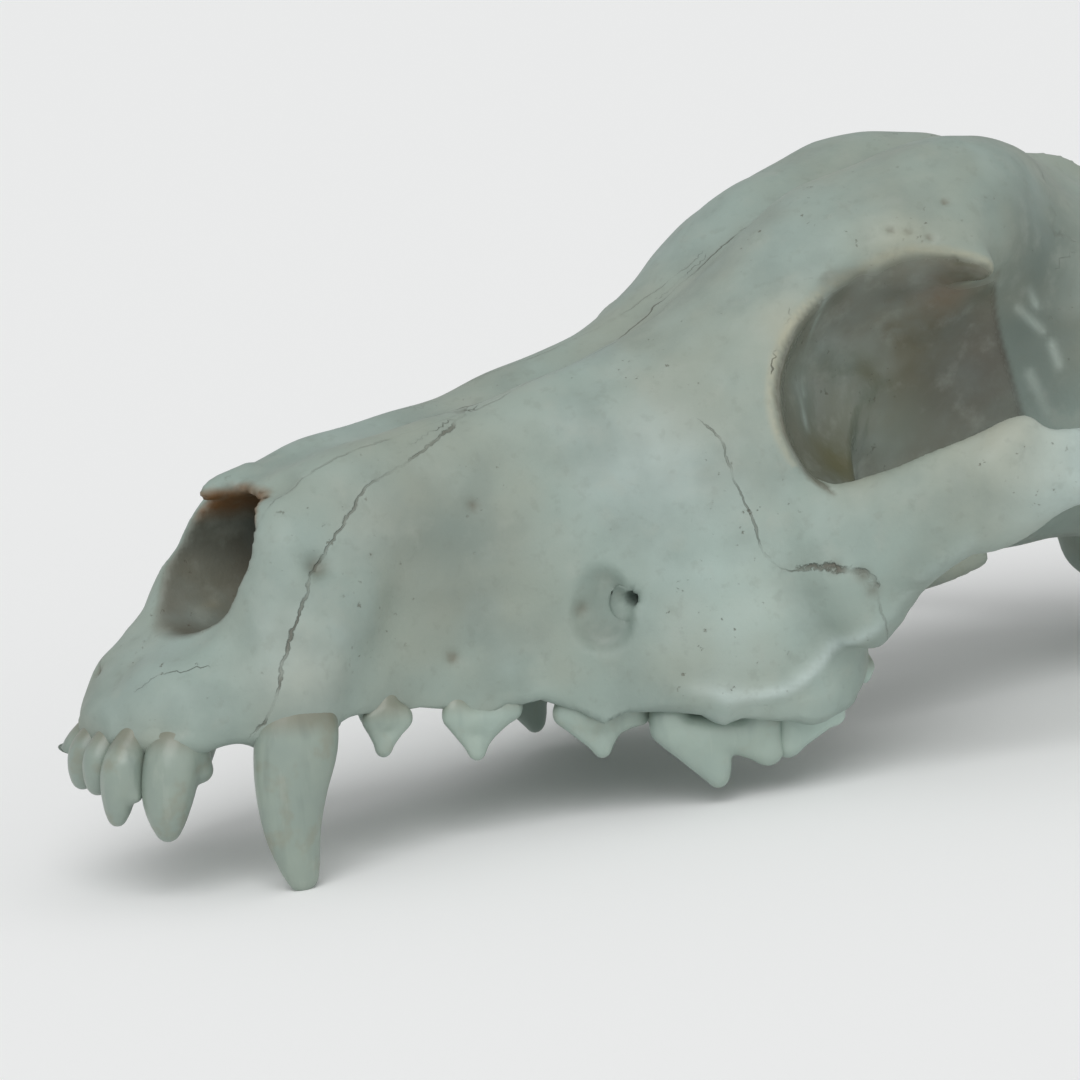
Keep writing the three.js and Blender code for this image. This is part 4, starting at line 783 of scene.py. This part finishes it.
# Mottles and stains. Each row: size in mm, detail, where it starts and is full, strength, colour
for size, detail, low, high, strength, code in (
        (22, 3, 0.38, 0.66, 0.28, "#928c76"), (9, 4, 0.42, 0.68, 0.32, "#6f7c76"),
        (13, 3, 0.5, 0.72, 0.22, "#a5b6b2"), (3.5, 5, 0.5, 0.75, 0.28, "#9aa197"),
        (1.4, 3, 0.55, 0.72, 0.16, "#6d7368")):
    noise = add_node(tree, "TexNoise", None, {
        "Vector": place, "Scale": noise_scale(size), "Detail": detail, "Roughness": 0.55})
    spread = add_node(tree, "MapRange", SMOOTH, {
        "Value": noise.outputs["Fac"], "From Min": low, "From Max": high, "To Max": strength})
    colour = add_node(tree, "Mix", {"data_type": "RGBA"}, {
        0: spread.outputs["Result"], 6: colour, 7: (*linear(code), 1)}).outputs[2]

# Flecks of soil in the pores: specks under 1 mm that come in clusters 12 mm across
speck = add_node(tree, "TexNoise", None, {
    "Vector": place, "Scale": noise_scale(0.9), "Detail": 3, "Roughness": 0.6})
cluster = add_node(tree, "TexNoise", None, {"Vector": place, "Scale": noise_scale(12), "Detail": 3})
speck = add_node(tree, "MapRange", SMOOTH, {
    "Value": speck.outputs["Fac"], "From Min": 0.66, "From Max": 0.74})
cluster = add_node(tree, "MapRange", SMOOTH, {
    "Value": cluster.outputs["Fac"], "From Min": 0.48, "From Max": 0.62})
flecks = add_node(tree, "Math", MULTIPLY, {
    0: speck.outputs["Result"], 1: cluster.outputs["Result"]}).outputs[0]
fleck_cover = add_node(tree, "Math", MULTIPLY, {0: flecks, 1: 0.6}).outputs[0]
colour = add_node(tree, "Mix", {"data_type": "RGBA"}, {
    0: fleck_cover, 6: colour, 7: (*linear("#4f4836"), 1)}).outputs[2]

# Sutures and cracks: hair lines about half a millimetre wide that wander every 2 mm or so
wander = add_node(tree, "TexNoise", None, {
    "Vector": place, "Scale": noise_scale(2.2), "Detail": 4, "Roughness": 0.6})
wander = add_node(tree, "Math", MULTIPLY_ADD, {0: wander.outputs["Fac"], 1: 9, 2: -4.5})
wander = add_node(tree, "Math", {"operation": "ADD"}, {0: wander.outputs[0], 1: line_side_in})
wander = add_node(tree, "Math", {"operation": "ABSOLUTE"}, {0: wander.outputs[0]})
line = add_node(tree, "MapRange", SMOOTH, {
    "Value": wander.outputs[0], "From Min": 0.2, "From Max": 1.2,
    "To Min": 1, "To Max": 0}).outputs["Result"]
near = add_node(tree, "MapRange", SMOOTH, {
    "Value": line_far_in, "From Min": 1.3, "From Max": 1.9, "To Min": 1, "To Max": 0})
gaps = add_node(tree, "TexNoise", None, {"Vector": place, "Scale": noise_scale(5), "Detail": 2})
gaps = add_node(tree, "MapRange", SMOOTH, {
    "Value": gaps.outputs["Fac"], "From Min": 0.4, "From Max": 0.58, "To Min": 0.15, "To Max": 1})
for factor in (near.outputs["Result"], line_dark_in, gaps.outputs["Result"]):
    line = add_node(tree, "Math", MULTIPLY, {0: line, 1: factor}).outputs[0]
line_cover = add_node(tree, "Math", MULTIPLY, {0: line, 1: 0.75}).outputs[0]
colour = add_node(tree, "Mix", {"data_type": "RGBA"}, {
    0: line_cover, 6: colour, 7: (*linear("#474133"), 1)}).outputs[2]
tree.links.new(colour, shader.inputs["Base Color"])

# Sheen: bone handled for years is half matt, in patches 3 mm across; the film is shiny
polish = add_node(tree, "TexNoise", None, {"Vector": place, "Scale": noise_scale(3), "Detail": 3})
polish = add_node(tree, "MapRange", None, {
    "Value": polish.outputs["Fac"], "From Min": 0.3, "From Max": 0.7, "To Min": 0.48, "To Max": 0.66})
polish = add_node(tree, "Mix", {"data_type": "FLOAT"}, {
    0: film_mask, 2: polish.outputs["Result"], 3: 0.22})
tree.links.new(polish.outputs[0], shader.inputs["Roughness"])
shader.inputs["IOR"].default_value = 1.53

# Relief in mm: pores of 0.5 mm, worn dents of 3.5 mm, the open lines and the soil in the pores
pores = add_node(tree, "TexNoise", None, {"Vector": place, "Scale": noise_scale(0.5), "Detail": 2})
dents = add_node(tree, "TexNoise", None, {"Vector": place, "Scale": noise_scale(3.5), "Detail": 3})
height = add_node(tree, "Math", MULTIPLY, {0: pores.outputs["Fac"], 1: 0.05})
for form, amount in ((dents.outputs["Fac"], 0.14), (line, -0.5), (flecks, -0.15)):
    height = add_node(tree, "Math", MULTIPLY_ADD, {0: form, 1: amount, 2: height.outputs[0]})
bump = add_node(tree, "Bump", None, {"Height": height.outputs[0], "Distance": 0.001, "Strength": 0.8})
tree.links.new(bump.outputs["Normal"], shader.inputs["Normal"])

# The parting: each bone takes the surface inside its own borders, seen from the side (x, z)
# and from above (x, y); what is left is the cranium
def inside(px, py, outline):
    """Whether points lie inside a closed outline."""
    result = np.zeros(len(px), bool)
    for (x0, y0), (x1, y1) in zip(outline, outline[1:] + outline[:1]):
        if y0 == y1:
            continue
        crossed = (y0 > py) != (y1 > py)
        result ^= crossed & (px < x0 + (py - y0) * (x1 - x0) / (y1 - y0))
    return result


NASAL_PLAN = [
    [10, -10.5], [40, -9.6], [72, -8.2], [100, -5.5], [116, -2.8], [124, 0], [116, 2.8], [100, 5.5],
    [72, 8.2], [40, 9.6], [10, 10.5],
]
NASAL_SIDE = [
    [10, 25], [24, 30.5], [30, 33.3], [40, 36.6], [50, 39.2], [62, 42.4], [76, 46.4], [88, 50.4],
    [100, 55.2], [110, 61.5], [118, 69], [126, 76], [126, 110], [10, 110],
]
INCISIVE_SIDE = [
    [-20, -40], [20.2, -40], [20.2, -1], [22.8, 4.5], [26.3, 13.5], [31.5, 21.2], [35, 25.5],
    [40.5, 32], [45.5, 36.5], [51, 38.8], [59.5, 43], [68, 47.6], [74, 49], [74, 80], [-20, 80],
]
MAXILLA_SIDE = [
    [-20, -40], [136, -40], [134, 2], [131, 12], [124, 24], [116, 36], [110, 46], [107, 56], [104, 63],
    [98, 75], [-20, 80],
]
CHEEK_SIDE = [
    [112.5, 48], [99, 43.5], [102.5, 35], [106, 27], [112, 21.3], [119, 20.8], [125.5, 17],
    [129, 12.5], [132, 4], [150, 4], [192, 28.5], [187, 35], [166, 41.5], [161, 60], [120, 60],
]
CHEEK_PLAN = [[90, 27], [118, 33], [127, 31], [140, 38], [200, 50], [200, 100], [90, 100]]

mid = points[quads].mean(1)
owner = np.full(len(quads), "cranium", dtype=object)
left = mid[:, 1] < 0
maxilla = inside(mid[:, 0], mid[:, 2], MAXILLA_SIDE)
owner[maxilla & left] = "left_maxilla"
owner[maxilla & ~left] = "right_maxilla"
owner[inside(mid[:, 0], mid[:, 2], INCISIVE_SIDE)] = "incisive_bones"
owner[inside(mid[:, 0], mid[:, 2], NASAL_SIDE) & inside(mid[:, 0], mid[:, 1], NASAL_PLAN)] = "nasal_bones"
cheek = inside(mid[:, 0], mid[:, 2], CHEEK_SIDE) & inside(mid[:, 0], np.abs(mid[:, 1]), CHEEK_PLAN)
owner[cheek & left] = "left_cheekbone"
owner[cheek & ~left] = "right_cheekbone"
marks = {"tone": tone, "film": film, "line_side": line_side, "line_far": line_far, "line_dark": line_dark}
for node in sorted(set(owner)):
    made = piece("bone_" + node, points, quads[owner == node], normals, marks, bone)
    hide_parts(node)

# The teeth: enamel crowns on roots that sit in their sockets. Each is a few round cones grown
# into one, flattened across, set at its place and turned to the line of the jaw. Each row: name,
# neck's place, turn in degrees, thickness share, level below which the right one is broken off,
# and paths of along, across, up, radius.
UNBROKEN = -99
TEETH = [
    ["canine", [28.5, 19.9, 0.5], 4, 0.68, -15.5, [
        [[4.4, 6, 12, 2.8], [2.6, 3.6, 5.5, 4.6], [1, 0.7, 1, 6], [0.2, -0.6, -4, 6.5],
         [-0.9, -1.7, -10, 5.6], [-1.1, -2.8, -17, 4.3], [0.2, -4, -24.5, 2.6]],
    ]],
    ["incisor_1", [2.6, 2.9, -2.5], 80, 1, UNBROKEN, [
        [[0, 5, 6, 1.3], [0, 2.4, 0.6, 1.9], [0, -0.2, -3.2, 2.3], [0, -0.7, -7.4, 1.7]],
    ]],
    ["incisor_2", [4.2, 8.6, -2.5], 62, 1, -3.5, [
        [[0, 5.6, 6, 1.4], [-0.1, 3, 0.8, 2.2], [-0.4, 0.2, -3.4, 2.8], [-0.6, -0.7, -7, 2.6],
         [-0.9, -1, -12, 1.4]],
        [[0.8, -0.2, -3.4, 2.2], [2.4, -0.4, -8.2, 1.1]],
    ]],
    ["incisor_3", [10.6, 13.2, -2], 38, 1, -4, [
        [[1.6, 6, 8, 1.8], [0.9, 3.4, 1.4, 3.1], [-0.2, 0.8, -3, 4.2], [-0.9, -0.6, -9, 3.7],
         [-0.8, -1.1, -14.3, 1.8]],
        [[2.4, 2.4, -2.4, 3], [3.6, 2.6, -5, 2.2]],
    ]],
    ["premolar_1", [46, 18.6, 0.5], 8, 0.8, UNBROKEN, [
        [[0, 3.4, 6, 1.4], [-0.2, 0.2, 0, 2.4]],
        [[-2.9, 0, -1.4, 1.4], [-0.8, 0, -6.1, 1.1]],
        [[-0.8, 0, -6.1, 1.1], [2.4, 0, -1.6, 1.4]],
        [[-2, 0, -1, 2], [2, 0, -0.9, 2]],
    ]],
    ["premolar_2", [62.4, 19.8, 0.8], 10, 0.72, UNBROKEN, [
        [[-4.2, 4, 6, 1.3], [-4.2, 0.2, -1.2, 2.3]],
        [[4.4, 4, 6, 1.4], [4.6, 0.2, -0.6, 2.2]],
        [[-4.8, 0, -2.4, 1.7], [-0.8, 0, -8.1, 1.2]],
        [[-0.8, 0, -8.1, 1.2], [1, 0, -4.4, 1.7]],
        [[1, 0, -4, 1.7], [5.2, 0, -1.7, 1.6]],
        [[-2.6, 0, -2.8, 2.2], [2, 0, -2.8, 2]],
    ]],
    ["premolar_3", [81.8, 24.2, 0.8], 14, 0.72, UNBROKEN, [
        [[-4.8, 4, 6, 1.5], [-4.8, 0.2, -2, 2.6]],
        [[5.2, 4, 6, 1.6], [5.2, 0.2, -2.2, 2.8]],
        [[-5.8, 0, -2.8, 1.9], [0.6, 0, -8.7, 1.3]],
        [[0.6, 0, -8.7, 1.3], [3, 0, -4.4, 1.6]],
        [[3.4, 0, -4, 1.6], [7, 0, -3.6, 1.6]],
        [[-3, 0, -3.4, 2.3], [3.6, 0, -3.6, 2.2]],
    ]],
    ["premolar_4", [99.2, 31, 0.6], 13, 0.85, UNBROKEN, [
        [[-7, 4, 5, 2], [-7.4, 0.4, -3.4, 3.2]],
        [[7, 4, 5, 2.4], [8, 0.4, -4.6, 3.7]],
        [[-7.5, 6.5, 4, 2], [-7.5, 6, -3, 2.5]],
        [[-8.2, 0, -5.6, 2.2], [1.1, 0, -14, 1.6]],
        [[-2.2, 0, -7.8, 3.2], [1, 0, -12.2, 2.1]],
        [[1.4, 0, -13.4, 1.5], [1.4, 0, -8.5, 2.4]],
        [[5.2, 0, -8.2, 2.2], [9.7, 0, -9.6, 2.5]],
        [[9.7, 0, -9.6, 2.5], [9.2, 0, -5.5, 2.8]],
        [[-5.5, 0, -6, 3.1], [6.5, 0, -6.8, 3.1]],
        [[-7.5, 5, -4, 2], [-7.5, 4.8, -6, 1.3]],
    ]],
    ["molar_1", [116.2, 31, 0], 8, 1, UNBROKEN, [
        [[-3, -1.5, 5, 2.2], [-3.2, -3.2, -1.5, 2.8]],
        [[3.4, -1.5, 5, 2.2], [4, -3, -1, 2.8]],
        [[0, 6, 5, 2.4], [0, 6, 0.4, 3.2]],
        [[-3.2, -3.2, -3, 2.8], [-3.5, -3.1, -8.2, 2.2]],
        [[-3.5, -3.1, -8.2, 2.2], [3, -3, -4.2, 2.2]],
        [[4.2, -3, -2, 2.8], [5, -2.8, -4, 1.9]],
        [[-1.4, 3, -1.5, 3.2], [-1.4, 3, -4.8, 1.6]],
        [[1, 7, -0.6, 3.2], [1, 7, -2.6, 1.8]],
        [[0, -2.5, -2.4, 4], [0, 5, -0.6, 3.8]],
    ]],
    ["molar_2", [127.6, 28.4, 3.6], 10, 1, UNBROKEN, [
        [[0, -1, 5, 1.8], [0, -2, -0.4, 2.5]],
        [[0, 3, 5, 2], [0, 3, 0, 2.3]],
        [[0, -2.2, -0.5, 2.8], [0, 3.8, -0.3, 2.5]],
        [[-1.3, -2.6, -1.4, 1.9], [-1.3, -2.4, -3.2, 1.2]],
        [[1.5, -2.5, -1, 1.8], [1.7, -2.3, -2.4, 1.1]],
    ]],
]
TOOTH_FINE = 0.4

# Tooth enamel: harder and glossier than bone, a grey-cream glaze over dentine, browner at the
# neck where it thins, with fine upright stains and a ripple along the crown
enamel = bpy.data.materials.new("tooth_enamel")
enamel.use_nodes = True
tree = enamel.node_tree
shader = tree.nodes["Principled BSDF"]
place = add_node(tree, "TexCoord").outputs["Object"]
tall = add_node(tree, "Mapping", None, {"Vector": place, "Scale": (1, 1, 0.22)}).outputs[0]
neck = add_node(tree, "Attribute", {"attribute_name": "height"})
neck = add_node(tree, "MapRange", SMOOTH, {
    "Value": neck.outputs["Fac"], "From Min": -2.5, "From Max": 1.5, "To Max": 0.6})
colour = (*linear("#849289"), 1)
# Painted light: the cheek teeth are painted paler than the front ones, the molars most, standing
# for the light that falls on them
along = add_node(tree, "SeparateXYZ", None, {"Vector": place}).outputs["X"]
paler = []
for start, full, amount in ((-0.092, -0.08, 0.2), (-0.022, -0.014, 0.32)):
    paler.append(add_node(tree, "MapRange", None, {
        "Value": along, "From Min": start, "From Max": full, "To Max": amount}).outputs["Result"])
# Stains. Each row: stretched upright or not, size in mm, start, full, strength, colour
for vector, size, low, high, strength, code in (
        (place, 7, 0.35, 0.65, 1.0, "#8c998e"), (tall, 3, 0.54, 0.72, 0.4, "#6b7972"),
        (place, 4, 0.52, 0.7, 0.35, "#807a64"), (tall, 1.2, 0.56, 0.7, 0.2, "#a2aaa0")):
    noise = add_node(tree, "TexNoise", None, {
        "Vector": vector, "Scale": noise_scale(size), "Detail": 3, "Roughness": 0.6})
    spread = add_node(tree, "MapRange", SMOOTH, {
        "Value": noise.outputs["Fac"], "From Min": low, "From Max": high, "To Max": strength})
    colour = add_node(tree, "Mix", {"data_type": "RGBA"}, {
        0: spread.outputs["Result"], 6: colour, 7: (*linear(code), 1)}).outputs[2]
# Painted light on the cheek teeth
for amount in paler:
    colour = add_node(tree, "Mix", {"data_type": "RGBA"}, {
        0: amount, 6: colour, 7: (*linear("#c3dcd2"), 1)}).outputs[2]
colour = add_node(tree, "Mix", {"data_type": "RGBA"}, {
    0: neck.outputs["Result"], 6: colour, 7: (*linear("#6c6651"), 1)}).outputs[2]
tree.links.new(colour, shader.inputs["Base Color"])
shader.inputs["Roughness"].default_value = 0.36
shader.inputs["IOR"].default_value = 1.62
ripple = add_node(tree, "TexNoise", None, {"Vector": tall, "Scale": noise_scale(1.6), "Detail": 2})
ripple = add_node(tree, "Math", MULTIPLY, {0: ripple.outputs["Fac"], 1: 0.1})
bump = add_node(tree, "Bump", None, {"Height": ripple.outputs[0], "Distance": 0.001, "Strength": 0.7})
tree.links.new(bump.outputs["Normal"], shader.inputs["Normal"])


def cone_distance(x, y, z, cone):
    """Distance to a cone with round ends."""
    a = np.array(cone[:4], float)
    b = np.array(cone[4:], float)
    e = b[:3] - a[:3]
    wx, wy, wz = x - a[0], y - a[1], z - a[2]
    t = np.clip((wx * e[0] + wy * e[1] + wz * e[2]) / (e @ e), 0, 1)
    off = np.sqrt((wx - e[0] * t) ** 2 + (wy - e[1] * t) ** 2 + (wz - e[2] * t) ** 2)
    return off - (a[3] + (b[3] - a[3]) * t)


for name, at, turn, thick, broken, paths in TEETH:
    paths = [smooth_path(path, 4) for path in paths]
    cones = [np.concatenate([a, b]) for path in paths for a, b in zip(path[:-1], path[1:])]
    ends = np.array(cones, float).reshape(-1, 4)
    low = (ends[:, :3] - ends[:, 3:]).min(0) - 1
    high = (ends[:, :3] + ends[:, 3:]).max(0) + 1
    axes = [np.arange(low[k], high[k] + TOOTH_FINE, TOOTH_FINE, dtype=np.float32) for k in range(3)]
    gx, gy, gz = np.meshgrid(*axes, indexing="ij")
    f = np.full(gx.shape, 1e3, np.float32)
    for cone in cones:
        f = join(f, cone_distance(gx, gy, gz, cone), 1.1)
    tooth, faces = surface_of(*axes, f)
    tooth = relaxed(tooth.astype(float), faces, 2)
    s, c = math.sin(math.radians(turn)), math.cos(math.radians(turn))
    along, across, up = tooth[:, 0], tooth[:, 1] * thick, tooth[:, 2]
    placed = np.stack([at[0] + along * c + across * s, -at[1] - along * s + across * c, at[2] + up], 1)
    for side, flip in (("left", 1), ("right", -1)):
        p = placed * [1, flip, 1]
        if side == "right":
            p[:, 2] = np.maximum(p[:, 2], at[2] + broken + 0.15 * (along - across))
        q = faces if flip == 1 else faces[:, ::-1]
        piece(side + "_" + name, p, q, vertex_normals(p, q), {"height": up}, enamel)

# The floor and the light: a plain pale sweep under an overcast sky with a soft sun
bpy.ops.mesh.primitive_plane_add(size=14)
floor = bpy.context.object
floor.name = "floor"
paper = bpy.data.materials.new("matt_white_card")
paper.use_nodes = True
card = paper.node_tree.nodes["Principled BSDF"]
card.inputs["Base Color"].default_value = (*linear("#f4f5f5"), 1)
card.inputs["Roughness"].default_value = 0.9
card.inputs["Specular IOR Level"].default_value = 0.1
floor.data.materials.append(paper)

world = bpy.data.worlds.new("overcast")
bpy.context.scene.world = world
world.use_nodes = True
world.node_tree.nodes["Background"].inputs["Color"].default_value = (1, 1, 1, 1)
world.node_tree.nodes["Background"].inputs["Strength"].default_value = 0.57
sun = bpy.data.objects.new("soft_sun", bpy.data.lights.new("soft_sun", "SUN"))
sun.data.energy = 1.35
sun.data.angle = math.radians(50)
sun.rotation_euler = (math.radians(32), math.radians(-28), 0)
bpy.context.scene.collection.objects.link(sun)
fill = bpy.data.objects.new("front_fill", bpy.data.lights.new("front_fill", "SUN"))
fill.data.energy = 0.4
fill.data.angle = math.radians(60)
fill.rotation_euler = (math.radians(84), 0, math.radians(12))
bpy.context.scene.collection.objects.link(fill)
bpy.context.scene.view_settings.view_transform = "Standard"

# The camera stands in front and to the left, a little above the teeth, through a long lens
CAMERA_EYE = (-292.2255, -684.1703, 124.2959)
CAMERA_RIGHT = (0.875791, -0.482667, -0.004723)
CAMERA_UP = (0.065780, 0.109652, 0.991790)
CAMERA_AHEAD = (0.478187, 0.868912, -0.127782)
LENS_PIXELS = 4700
PHOTO_PIXELS = 1080
eye = posed([CAMERA_EYE])[0]
right, up, ahead = turned(np.array([CAMERA_RIGHT, CAMERA_UP, CAMERA_AHEAD]))
view = bpy.data.cameras.new("view")
view.sensor_width = 36
view.lens = LENS_PIXELS / PHOTO_PIXELS * view.sensor_width
view.clip_end = 100
camera = bpy.data.objects.new("view", view)
camera.matrix_world = Matrix(((right[0], up[0], -ahead[0], eye[0]), (right[1], up[1], -ahead[1], eye[1]),
                              (right[2], up[2], -ahead[2], eye[2]), (0, 0, 0, 1)))
bpy.context.scene.collection.objects.link(camera)
bpy.context.scene.camera = camera
